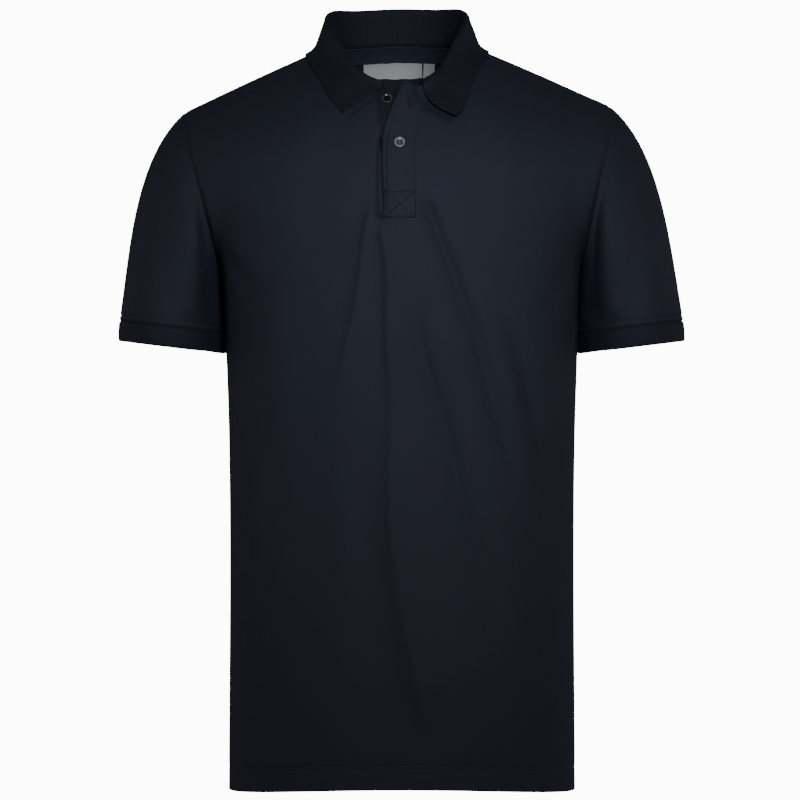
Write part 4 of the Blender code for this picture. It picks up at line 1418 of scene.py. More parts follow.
    def calm_underarm(self, points: Array, across: Array) -> Array:
        """Softens the bend that the armhole's corner leaves along the underarm row. The edges stay.

        Args:
            points: The panel's points, which are moved.
            across: How far across they lie.

        Returns:
            The same points.
        """
        wide = np.abs(across)
        weight = smooth_share((1.0 - wide) / 0.2) * smooth_share((wide - 0.1) / 0.3)
        middle = points.shape[1] // 4
        height = run_lengths(points, 0)
        height = height - height[self.underarm_row]
        weight = (weight * dent(height, self.underarm_calm))[..., None]
        spacing = float(np.diff(height[self.underarm_row - 10 : self.underarm_row + 10, middle]).mean())
        for _ in range(int(self.calm_spread / spacing ** 2)):
            step = 0.5 * (points[2:] + points[:-2]) - points[1:-1]
            points[1:-1] += 0.5 * weight[1:-1] * step
        return points

    def share_seams(self) -> None:
        """Gives both sides of the side and shoulder seams the same normals."""
        rows = slice(0, self.underarm_row + 1)
        for front_column, back_column in ((-1, 0), (0, -1)):
            shared = unit(self.front_normals[rows, front_column] + self.back_normals[rows, back_column])
            self.front_normals[rows, front_column] = shared
            self.back_normals[rows, back_column] = shared
        count = self.shoulder_columns + 5
        for front_columns, back_columns in (
            (slice(-1, -count, -1), slice(0, count - 1)),
            (slice(0, count - 1), slice(-1, -count, -1)),
        ):
            shared = unit(self.front_normals[-1, front_columns] + self.back_normals[-1, back_columns])
            self.front_normals[-1, front_columns] = shared
            self.back_normals[-1, back_columns] = shared

    def armhole(self) -> Array:
        """The left armhole's points, from the underarm up the front and down the back."""
        low = self.underarm_row
        return np.concatenate((self.front[low:, -1], self.back[-2:low:-1, 0]))

    def meet_sleeves(self, loop_normals: Array, drawn: Array) -> None:
        """Gives the armhole edges the normals that they share with the sleeves, and opens the seam.

        Args:
            loop_normals: Normals round the left armhole.
            drawn: How far each of its points moves to the sleeve's side of the seam.
        """
        low = self.underarm_row
        steps = self.front.shape[0] - 1 - low
        order = np.concatenate((np.arange(2 * steps, steps, -1) % len(loop_normals), [steps]))
        for side, front_column, back_column in ((1.0, -1, 0), (-1.0, 0, -1)):
            flip = np.array((side, 1.0, 1.0))
            self.front[low:, front_column] -= (drawn * flip)[: steps + 1]
            self.front_normals[low:, front_column] = (loop_normals * flip)[: steps + 1]
            self.back[low:, back_column] -= (drawn * flip)[order]
            self.back_normals[low:, back_column] = (loop_normals * flip)[order]

    def sink_seams(self) -> None:
        """Presses the grooves of the side, shoulder and armhole seams and of the hem's stitching."""
        for points, normals, across in (
            (self.front, self.front_normals, self.front_across),
            (self.back, self.back_normals, self.back_across),
        ):
            run = run_lengths(points, 1)
            edge = np.minimum(run, run[:, -1:] - run)
            depth = self.seam_dip * dent(edge, self.seam_width)
            rise = run_lengths(points, 0)
            from_top = rise[-1] - rise
            on_shoulder = np.abs(across) >= self.form.neck_across - 1e-6
            shoulder = self.seam_dip * dent(from_top, self.seam_width) * on_shoulder
            depth = np.maximum(depth, shoulder)
            for line in (self.hem_depth, self.hem_depth + self.hem_twin):
                depth = depth + self.hem_groove * dent(rise - line, self.groove_width)
            points -= normals * depth[..., None]
        self.front_tree = facets(self.front)
        self.back_tree = facets(self.back)

    def walls(self) -> list[ClothWall]:
        """Both panels as walls, with two layers of cloth in the hem."""
        made = []
        for name, points, normals, keep in (
            ("front_panel", self.front, self.front_normals, self.front_keep),
            ("back_panel", self.back, self.back_normals, None),
        ):
            face = points.copy()
            rise = run_lengths(points, 0)
            layers = 1.0 + self.turned_hem * smooth_share((self.hem_depth + self.hem_twin + 2.0 - rise) / 1.5)
            reverse = face - normals * (PIQUE_WALL * layers)[..., None]
            for row, share in ((0, 0.62), (1, 0.22), (2, 0.05)):
                pinch(face, reverse, (row,), share)
            made.append(ClothWall(name, face, reverse, keep))
        return made

    def build(self) -> None:
        """Builds the panels and the hem's twin stitching."""
        cuts = (((0.545, 0.795), 0.364), ((0.545, 0.815), 0.364))
        for wall, (flat, area) in zip(self.walls(), cuts):
            piece = wall.build(self.wardrobe.pique)
            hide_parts(wall.name.split("_")[0])
        stitches = Seam("hem_stitches", stitch=2.9, space=0.5)
        for points, normals in ((self.front, self.front_normals), (self.back, self.back_normals)):
            rise = run_lengths(points, 0)
            for height in (self.hem_depth, self.hem_depth + self.hem_twin):
                row = int(np.argmin(np.abs(rise[:, points.shape[1] // 3] - height)))
                stitches.run(points[row], normals[row])
        stitches.build(self.wardrobe.thread)


class SleeveEnd(NamedTuple):
    """The ring where a sleeve ends and its cuff begins."""

    x: float
    y: float
    z: float
    half_x: float
    half_y: float
    tilt: float


@dataclass
class Sleeves:
    """Both sleeves with their ribbed cuffs."""

    wardrobe: Wardrobe
    torso: Torso
    end: SleeveEnd = SleeveEnd(238.5, 5, -290.5, 53.0, 61, 6.5)
    rings: int = 62
    reach: float = 215.0
    tuck: float = 10.7
    tuck_turn: float = 0.6
    tuck_spread: float = 0.4
    tuck_lead: float = 1.7
    ripple_pitch: float = 150.0
    ripple_height: float = 0.6
    end_dip: float = 1.3
    end_dip_width: float = 1.2
    cuff_height: float = 21.0
    cuff_taper: float = 0.975
    cuff_rows: int = 18
    cuff_bulge: float = 0.7
    cuff_lip: float = 1.2
    cuff_lip_width: float = 1.5
    cuff_inner_height: float = 0.25
    cuff_inner_bulge: float = 0.8
    cuff_ripple_pitch: float = 46.0
    cuff_ripple_height: float = 0.35
    stitch_line: float = 5.6
    stitch_groove: float = 0.95

    def ring_shares(self) -> Array:
        """Shares of the way up the sleeve, close together at its stitching and at the armhole."""
        start = (0.0, 0.5, 1.1, 2.0, 3.2, 4.2, 4.9, 5.6, 6.3, 7.0, 8.2, 10.0)
        return end_spaced(self.reach, start, SEAM_STEPS, self.rings)

    def draw(self, loop: Array) -> Array:
        """The left sleeve's points: rings from the cuff, row 0, up to the armhole.

        Args:
            loop: The armhole's points.

        Returns:
            The grid of the sleeve's points, closed round its columns.
        """
        closed = np.concatenate((loop, loop[:1]))
        run = run_lengths(closed, 0)
        angle = math.pi + 2.0 * math.pi * run[:-1] / run[-1]
        outward = np.cos(angle)
        forward = np.sin(angle)
        end = self.end
        behind = math.pi - angle % (2.0 * math.pi)
        flat = self.tuck * dent(behind - self.tuck_turn, self.tuck_spread)
        ring_x = end.x + end.half_x * outward - flat
        ring = np.stack((ring_x, end.y + end.half_y * forward, end.z + end.tilt * outward), axis=1)
        far = np.linalg.norm(ring - loop, axis=1, keepdims=True)
        # How the cloth sets off from the armhole and how it comes down into the ring.
        leave = np.stack((0.36 + 0.36 * outward, 0.34 * forward, -0.80 + 0.20 * outward), axis=1) * far
        leave[:, 0] -= self.tuck_lead * flat
        arrive = np.stack((0.09 + 0.08 * outward, 0.02 * forward, -np.ones_like(outward)), axis=1) * far * 0.9
        v = (1.0 - self.ring_shares())[:, None, None]
        v2 = v * v
        v3 = v2 * v
        return (
            (2.0 * v3 - 3.0 * v2 + 1.0) * loop
            + (v3 - 2.0 * v2 + v) * leave
            + (3.0 * v2 - 2.0 * v3) * ring
            + (v3 - v2) * arrive
        )

    def crease(self, points: Array, normals: Array) -> Array:
        """Adds the creases, which fade towards the sleeve's ends and its outer and inner sides.

        Args:
            points: The smooth sleeve.
            normals: Its normals.

        Returns:
            The creased sleeve.
        """
        facing = smooth_share((np.abs(normals[..., 1]) - 0.05) / 0.5)
        front = normals[..., 1] < 0.0
        front_lift, back_lift = (
            crease_lift(points, creases) for creases in (SLEEVE_FRONT_CREASES, SLEEVE_BACK_CREASES)
        )
        shares = self.ring_shares()
        calm = smooth_share((1.0 - shares) / 0.10) * smooth_share(shares / 0.05 + 0.15)
        ripple = cloth_ripple(points, self.ripple_pitch, 1.1) * self.ripple_height
        lift = np.where(front, front_lift, back_lift) * facing + ripple
        return points + normals * (lift * calm[:, None])[..., None]

    def build(self) -> None:
        """Builds both sleeves and cuffs, and opens the seams between them and the torso."""
        torso = self.torso
        loop = torso.armhole()
        sleeve = self.draw(loop)
        sleeve = self.crease(sleeve, grid_normals(sleeve, closed=True))
        sleeve[-1] = loop
        normals = grid_normals(sleeve, closed=True)
        low = torso.underarm_row
        body_side = np.concatenate((torso.front_normals[low:, -1], torso.back_normals[-2:low:-1, 0]))
        tangents = unit(np.roll(loop, -1, axis=0) - np.roll(loop, 1, axis=0))
        radial = (loop - loop.mean(axis=0)) * np.array((0.0, 1.0, 1.0))
        radial = unit(radial - tangents * (radial * tangents).sum(axis=1, keepdims=True))
        loop_normals = unit(body_side + normals[-1] + radial)
        across_seam = toward(unit(np.cross(tangents, loop_normals)), np.array((1.0, 0.0, 0.0)))
        drawn = across_seam * (0.5 * SEAM_GAP)
        sleeve[-1] += drawn
        normals[-1] = loop_normals
        torso.meet_sleeves(loop_normals, drawn)
        torso.sink_seams()

        rise = run_lengths(sleeve, 0)
        from_top = rise[-1] - rise
        depth = torso.seam_dip * dent(from_top, torso.seam_width)
        depth += self.stitch_groove * dent(rise - self.stitch_line, torso.groove_width)
        depth += self.end_dip * dent(rise, self.end_dip_width)
        sleeve = sleeve - normals * depth[..., None]
        cuff, cuff_normals = self.draw_cuff(sleeve[0])
        normals[0] = cuff_normals[-1]
        for side in Side:
            self.build_side(side, sleeve, normals, cuff, cuff_normals)

    def draw_cuff(self, top: Array) -> tuple[Array, Array]:
        """The left cuff, row 0 at its lower edge.

        Args:
            top: The ring where the sleeve ends.

        Returns:
            Its points and normals.
        """
        tilt = math.atan2(self.end.tilt, self.end.half_x)
        down = np.array((math.sin(tilt), 0.0, -math.cos(tilt)))
        centre = np.array((self.end.x, self.end.y, self.end.z))
        upper = top + down * (0.5 * SEAM_GAP)
        outer = np.clip(0.5 + 0.5 * (upper[:, :1] - centre[0]) / self.end.half_x, 0.0, 1.0)
        sideways = self.cuff_inner_height + (1.0 - self.cuff_inner_height) * outer
        whole = np.ones_like(outer)
        fall = down * self.cuff_height * np.concatenate((sideways, whole, whole), axis=1)
        lower = centre + (upper - centre) * (1.0 - (1.0 - self.cuff_taper) * outer) + fall
        shares = end_spaced(self.cuff_height, (0.0, 0.5, 1.2), (0.0, 0.6, 1.4), self.cuff_rows)
        rows = lower + (upper - lower) * shares[:, None, None]
        outward = unit(rows - rows.mean(axis=1, keepdims=True))
        bulge = self.cuff_bulge * np.sin(math.pi * np.clip(shares, 0.0, 1.0)) ** 0.7
        bulge += self.cuff_lip * (1.0 - dent((1.0 - shares) * self.cuff_height, self.cuff_lip_width))
        wave = cloth_ripple(rows, self.cuff_ripple_pitch, 0.7) * self.cuff_ripple_height
        wave = wave * (1.0 - shares)[:, None]
        fullness = self.cuff_inner_bulge + (1.0 - self.cuff_inner_bulge) * outer[:, 0]
        rows = rows + outward * (bulge[:, None] * fullness + wave)[..., None]
        return rows, grid_normals(rows, closed=True)

    def build_side(self, side: Side, sleeve: Array, normals: Array, cuff: Array, cuff_normals: Array) -> None:
        """Builds one sleeve, its cuff and their stitching.

        Args:
            side: The wearer's left or right.
            sleeve: The left sleeve's points.
            normals: Their normals.
            cuff: The left cuff's points.
            cuff_normals: Their normals.
        """
        name = side.name.lower()
        if side is Side.RIGHT:
            sleeve, normals, cuff, cuff_normals = (
                mirror_x(grid)[:, ::-1] for grid in (sleeve, normals, cuff, cuff_normals)
            )
        wall = ClothWall(f"{name}_sleeve", sleeve, sleeve - normals * PIQUE_WALL, closed=True)
        piece = wall.build(self.wardrobe.pique)
        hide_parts(f"sleeve_{name}")

        face = cuff.copy()
        reverse = cuff - cuff_normals * RIB_WALL
        pinch(face, reverse, (0,), 0.55)
        pinch(face, reverse, (1,), 0.12)
        piece = ClothWall(f"{name}_cuff", face, reverse, closed=True).build(self.wardrobe.rib)
        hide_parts(f"cuff_{name}")

        rise = run_lengths(sleeve, 0)
        row = int(np.argmin(np.abs(rise[:, 0] - self.stitch_line)))
        line = np.concatenate((sleeve[row], sleeve[row, :1]))
        line_normals = np.concatenate((normals[row], normals[row, :1]))
        stitches = Seam(f"{name}_cuff_stitches", stitch=2.4)
        stitches.run(line, line_normals)
        stitches.build(self.wardrobe.thread)


@dataclass
class NeckOpening:
    """Both bands of the neck opening, with their stitching, a buttonhole and the buttons."""

    wardrobe: Wardrobe
    torso: Torso
    upper_button: ButtonPlace = ButtonPlace(-10.5, -61.5)
    lower_button: ButtonPlace = ButtonPlace(1.0, -108.5)
    upper_hole: ButtonPlace = ButtonPlace(12.0, -66.0)
    length: float = 138.0
    width: float = 35.0
    box_top_z: float = -157.0
    box_low_z: float = -182.0
    box_inset: float = 1.7
    edge_stitch: float = 5.0
    groove: float = 0.85
    groove_width: float = 0.8
    fold_line: float = 2.4
    edge_roll: float = 0.5
    edge_lift: float = 1.0
    under_sink: float = 4.2
    sink_top_z: float = -84.0
    sink_fade: float = 20.0
    sewn_stitch: float = 33.0
    sewn_width: float = 3.2
    roll_width: float = 1.3
    lift_curve: float = 1.6
    hole_half: float = 6.5
    hole_stitches: int = 22

    def steps(self) -> Array:
        """Shares of the way up a band, close together in the stitched box at its foot."""
        foot = np.arange(0.0, 30.1, 0.75)
        return end_spaced(self.length, foot, (0.0, 0.4, 1.0), 52)

    def draw(self, band: Band, columns: Array, drop: float) -> tuple[Array, Array, Array]:
        """The front's points and normals under a band.

        Args:
            band: Which band.
            columns: Shares of the way from the left edge to the right one.
            drop: How far the band's top lies lower under the collar.

        Returns:
            Points, normals and how far each row's free edge lifts.
        """
        form = self.torso.form
        foot_z = BAND_ROWS[0].z
        grid_x = []
        grid_z = []
        top_edges = band_edges(np.array(float(BAND_ROWS[-1].z)))[band.value :]
        for share in columns:
            top_x = float(top_edges[0] + (top_edges[1] - top_edges[0]) * share)
            top_across = float(form.across_at(top_x, FRONT_NECK_LEVEL))
            lower = 1.0 + drop * float(smooth_share((top_x - LEFT_COLLAR_END_X + 5.0) / 5.0))
            top_z = float(form.point(top_across, form.neck_level(top_across, FRONT_NECK_LEVEL))[2]) - lower
            z = foot_z + (top_z - foot_z) * self.steps()
            edges = band_edges(z)[:, band.value :]
            grid_x.append(edges[:, 0] + (edges[:, 1] - edges[:, 0]) * share)
            grid_z.append(z)
        across, level = form.place(np.stack(grid_x, axis=1), np.stack(grid_z, axis=1))
        points = settle(form.point(across, level), self.torso.front_tree)
        points = self.even(points)
        return points, grid_normals(points), edges[:, -1]

    @staticmethod
    def even(points: Array) -> Array:
        """Evens out what the panel's facets leave."""
        for _ in range(3):
            points[1:-1] += 0.25 * (points[2:] + points[:-2] - 2.0 * points[1:-1])
            points[:, 1:-1] += 0.25 * (points[:, 2:] + points[:, :-2] - 2.0 * points[:, 1:-1])
        return points

    def box_lines(self) -> list[tuple[ButtonPlace, ButtonPlace]]:
        """The stitched box with its cross, as pairs of places."""
        edges = BAND_ROWS[0]
        left = edges.upper_left + self.box_inset
        right = edges.upper_right - self.box_inset
        corners = [
            ButtonPlace(left, self.box_low_z),
            ButtonPlace(right, self.box_low_z),
            ButtonPlace(right, self.box_top_z),
            ButtonPlace(left, self.box_top_z),
        ]
        sides = [(corners[k], corners[(k + 1) % 4]) for k in range(4)]
        return sides + [(corners[0], corners[2]), (corners[1], corners[3])]

    def build(self) -> None:
        """Builds the bands, their stitching and the buttons."""
        columns = end_spaced(self.width, BAND_EDGE_STEPS, BAND_EDGE_STEPS, 34)
        self.build_under(columns)
        self.build_upper(columns)

    def build_under(self, columns: Array) -> None:
        """Builds the under band, which carries the upper button.

        Args:
            columns: Shares of the way across it.
        """
        points, normals, _ = self.draw(Band.UNDER, columns, 0.0)
        sink = self.under_sink * smooth_share((self.sink_top_z - points[..., 2]) / self.sink_fade)
        face = points - normals * (INNER_GAP + sink)[..., None]
        reverse = face - normals * PIQUE_WALL
        pinch(face, reverse, (-1,), 0.6)
        pinch(face, reverse, (-2,), 0.15)
        # The under band wears the darker pique copy: painted shade, not a different cloth.
        piece = ClothWall("under_band", face, reverse).build(self.wardrobe.inner)
        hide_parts("placket_under")
        self.add_button("upper", self.upper_button, face, normals)

    def build_upper(self, columns: Array) -> None:
        """Builds the upper band with its stitching, its buttonhole and the lower button.

        Args:
            columns: Shares of the way across it.
        """
        points, normals, lift = self.draw(Band.UPPER, columns, 3.5)
        free = (1.0 - columns)[None, :] ** self.lift_curve
        aside = columns[None, :] * self.width
        sewn = smooth_share((self.width - aside) / self.sewn_width)
        height = (LAYER_GAP + PIQUE_WALL) * (0.3 + 0.7 * sewn) + (lift[:, None] + self.edge_lift) * free
        flat_x, flat_z = points[..., 0], points[..., 2]
        press = np.zeros(flat_x.shape)
        for start, stop in self.box_lines():
            step = np.array((stop.x - start.x, stop.z - start.z))
            offset = np.stack((flat_x - start.x, flat_z - start.z), axis=-1)
            along = np.clip((offset * step).sum(axis=-1) / (step ** 2).sum(), 0.0, 1.0)
            gap = np.linalg.norm(offset - along[..., None] * step, axis=-1)
            press = np.maximum(press, self.groove * dent(gap, self.groove_width))
        above_box = smooth_share((flat_z - self.box_top_z) / 3.0)
        for line, share in ((self.edge_stitch, 0.6), (self.sewn_stitch, 0.35)):
            groove = share * self.groove * dent(aside - line, self.groove_width)
            press = np.maximum(press, groove * above_box)
        roll = self.edge_roll * dent(aside - self.fold_line, self.roll_width) * above_box
        face = points + normals * (height - press + roll)[..., None]
        face_normals = grid_normals(face)
        reverse = face - face_normals * (PIQUE_WALL * (0.55 + 0.45 * sewn))[..., None]
        self.upper_face, self.upper_normals = face.copy(), face_normals
        tree = facets(face)
        for index, share in (((slice(None), 0), 0.7), ((slice(None), 1), 0.2), ((0,), 0.5), ((-1,), 0.6)):
            pinch(face, reverse, index, share)
        piece = ClothWall("upper_band", face, reverse).build(self.wardrobe.pique)
        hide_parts("placket_upper")

        # The box is sewn with the darkened thread: painted shade in its pressed lines.
        stitches = Seam("box_stitches", stitch=2.1, space=0.25, thickness=0.7)
        for start, stop in self.box_lines():
            flat = np.linspace((start.x, 0.0, start.z), (stop.x, 0.0, stop.z), 30)
            flat[:, 1] = face[..., 1].min()
            stitches.run(*self.drop_on(tree, flat))
        stitches.build(self.wardrobe.shaded_thread)
        stitches = Seam("band_stitches", stitch=2.1, space=0.4, thickness=0.4)
        box_row = int(np.argmin(np.abs(flat_z[:, 0] - self.box_top_z)))
        for line in (self.edge_stitch, self.sewn_stitch):
            column = int(np.argmin(np.abs(columns * self.width - line)))
            stitches.run(self.upper_face[box_row:-2, column], face_normals[box_row:-2, column])
        stitches.build(self.wardrobe.thread)
        self.add_button("lower", self.lower_button, self.upper_face, face_normals)
        self.add_buttonhole("upper_buttonhole", self.upper_hole, tree)

    @staticmethod
    def drop_on(tree: BVHTree, line: Array) -> tuple[Array, Array]:
        """A line carried back onto the band.

        Args:
            tree: The band's facets.
            line: Points in front of it.

        Returns:
            Points on the band and its normals there.
        """
        back = Vector((0.0, 1.0, 0.0))
        found = [tree.ray_cast(Vector(point) - 5.0 * back, back) for point in line]
        found = [hit for hit in found if hit[0] is not None]
        return tuple(np.array([tuple(hit[part]) for hit in found]) for part in (0, 1))

    def add_buttonhole(self, name: str, at: ButtonPlace, tree: BVHTree) -> None:
        """Adds a worked buttonhole: two rows of close stitches.

        Args:
            name: Its name.
            at: Its middle.
            tree: The facets of the band that it is worked in.
        """
        # The buttonhole is worked in the darkened thread: painted shade under the collar's front edge.
        stitches = Seam(name, stitch=1.5, space=-1.0, thickness=0.45)
        for side in (-1.0, 1.0):
            for k in range(self.hole_stitches):
                z = at.z + self.hole_half * (2.0 * (k + 0.5) / self.hole_stitches - 1.0)
                ends = np.array(((at.x + side * 0.35, -200.0, z), (at.x + side * 1.75, -200.0, z)))
                line, normals = self.drop_on(tree, ends)
                if len(line) == 2:
                    stitches.run(line, normals, -0.05)
        if stitches.lines:
            stitches.build(self.wardrobe.shaded_thread)

    def add_button(self, name: str, place: ButtonPlace, cloth: Array, cloth_normals: Array) -> None:
        """Adds a dished four-hole button with its thread.

        Args:
            name: upper or lower.
            place: Where it sits.
            cloth: Points of the band under it.
            cloth_normals: Their normals.
        """
        flat = cloth.reshape(-1, 3)
        nearest = int(np.argmin((flat[:, 0] - place.x) ** 2 + (flat[:, 2] - place.z) ** 2))
        normal = cloth_normals.reshape(-1, 3)[nearest]
        button = ButtonShape(flat[nearest] + normal * LAYER_GAP, normal)
        finish = self.wardrobe.dark_button if name == "upper" else self.wardrobe.grey_button
        piece = button.build(f"{name}_button", finish)
        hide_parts(f"button_{name}")
        thread = button.build_thread(f"{name}_button_thread", self.wardrobe.thread)


@dataclass
class ButtonShape:
    """A round button with a raised rim, a dish and four holes."""

    centre: Array
    normal: Array
    radius: float = 5.5
    thickness: float = 2.4
    hole: float = 1.5
    hole_spacing: float = 1.5

    def axes(self) -> tuple[Array, Array]:
        """Directions to the right and up on the button's face."""
        right = unit(np.array((-self.normal[1], self.normal[0], 0.0)))
        return right, np.cross(self.normal, right)

    def profile(self) -> list[tuple[float, float]]:
        """Radius and height of the outline, from the middle of the back to the middle of the face."""
        shape = (
            (0.0, 0.0), (0.80, 0.0), (0.90, 0.06), (0.97, 0.2), (1.0, 0.42),
            (0.995, 0.66), (0.96, 0.86), (0.90, 0.97), (0.84, 1.0), (0.78, 0.97),
            (0.72, 0.84), (0.67, 0.70), (0.60, 0.63), (0.40, 0.60), (0.0, 0.58),
        )
        return [(reach * self.radius, rise * self.thickness) for reach, rise in shape]

    def build(self, name: str, material: bpy.types.Material) -> bpy.types.Object:
        """The button.

        Args:
            name: Its name.
            material: Its finish.

        Returns:
            A new object, with its holes cut.
        """
        work = bmesh.new()
        points = [work.verts.new((reach, 0.0, rise)) for reach, rise in self.profile()]
        edges = [work.edges.new(pair) for pair in zip(points[:-1], points[1:])]
        bmesh.ops.spin(
            work, geom=points + edges, cent=(0, 0, 0), axis=(0, 0, 1), dvec=(0, 0, 0),
            angle=2.0 * math.pi, steps=64, use_merge=True, use_duplicate=False,
        )
        bmesh.ops.remove_doubles(work, verts=work.verts[:], dist=1e-4)
        bmesh.ops.recalc_face_normals(work, faces=work.faces[:])
        button = self.placed(work, name, material)
        holes = bmesh.new()
        for side in (-1.0, 1.0):
            for rise in (-1.0, 1.0):
                made = bmesh.ops.create_cone(
                    holes, cap_ends=True, segments=20, radius1=0.5 * self.hole, radius2=0.5 * self.hole,
                    depth=3.0 * self.thickness,
                )
                shift = (side * self.hole_spacing, rise * self.hole_spacing, 0.5 * self.thickness)
                bmesh.ops.translate(holes, vec=shift, verts=made["verts"])
        cutter = self.placed(holes, name + "_holes", material)
        cut = button.modifiers.new("holes", "BOOLEAN")
        cut.operation = "DIFFERENCE"
        cut.solver = "EXACT"
        cut.object = cutter
        evaluated = button.evaluated_get(bpy.context.evaluated_depsgraph_get())
        mesh = bpy.data.meshes.new_from_object(evaluated)
        button.modifiers.clear()
        button.data = mesh
        bpy.data.objects.remove(cutter)
        mesh.shade_smooth()
        mesh.set_sharp_from_angle(angle=math.radians(50.0))
        return button

    def placed(self, work: bmesh.types.BMesh, name: str, material: bpy.types.Material) -> bpy.types.Object:
        """Puts what stands on the button's own axis onto the shirt.

        Args:
            work: Its shape.
            name: Its name.
            material: Its finish.

        Returns:
            A new object.
        """
        right, up = self.axes()
        mesh = new_mesh(name, work)
        local = np.array([vertex.co[:] for vertex in mesh.vertices])
        reach = mesh.attributes.new("reach", "FLOAT", "POINT")
        reach.data.foreach_set("value", (np.hypot(local[:, 0], local[:, 1]) / self.radius).astype(np.float32))
        points = self.centre + local[:, :1] * right + local[:, 1:2] * up + local[:, 2:] * self.normal
        mesh.vertices.foreach_set("co", stand_up(points).astype(np.float32).ravel())
        mesh.update()
        return new_piece(mesh, material)

    def build_thread(self, name: str, material: bpy.types.Material) -> bpy.types.Object:
        """The thread: two bars of stitches between the holes.

        Args:
            name: Its name.
            material: The thread.

        Returns:
            A new object.
        """
        right, up = self.axes()
        stitches = Seam(name, stitch=2.0 * self.hole_spacing + 0.6, space=0.0, thickness=0.5)
        top = self.centre + self.normal * (0.66 * self.thickness)
        span = up * (self.hole_spacing + 0.25)
        normals = np.array((self.normal, self.normal))
        for side in (-1.0, 1.0):
            for shift in (-0.28, 0.0, 0.28):
                middle = top + right * (side * self.hole_spacing + shift)
                stitches.run(np.array((middle - span, middle + span)), normals, 0.0)
        return stitches.build(material)


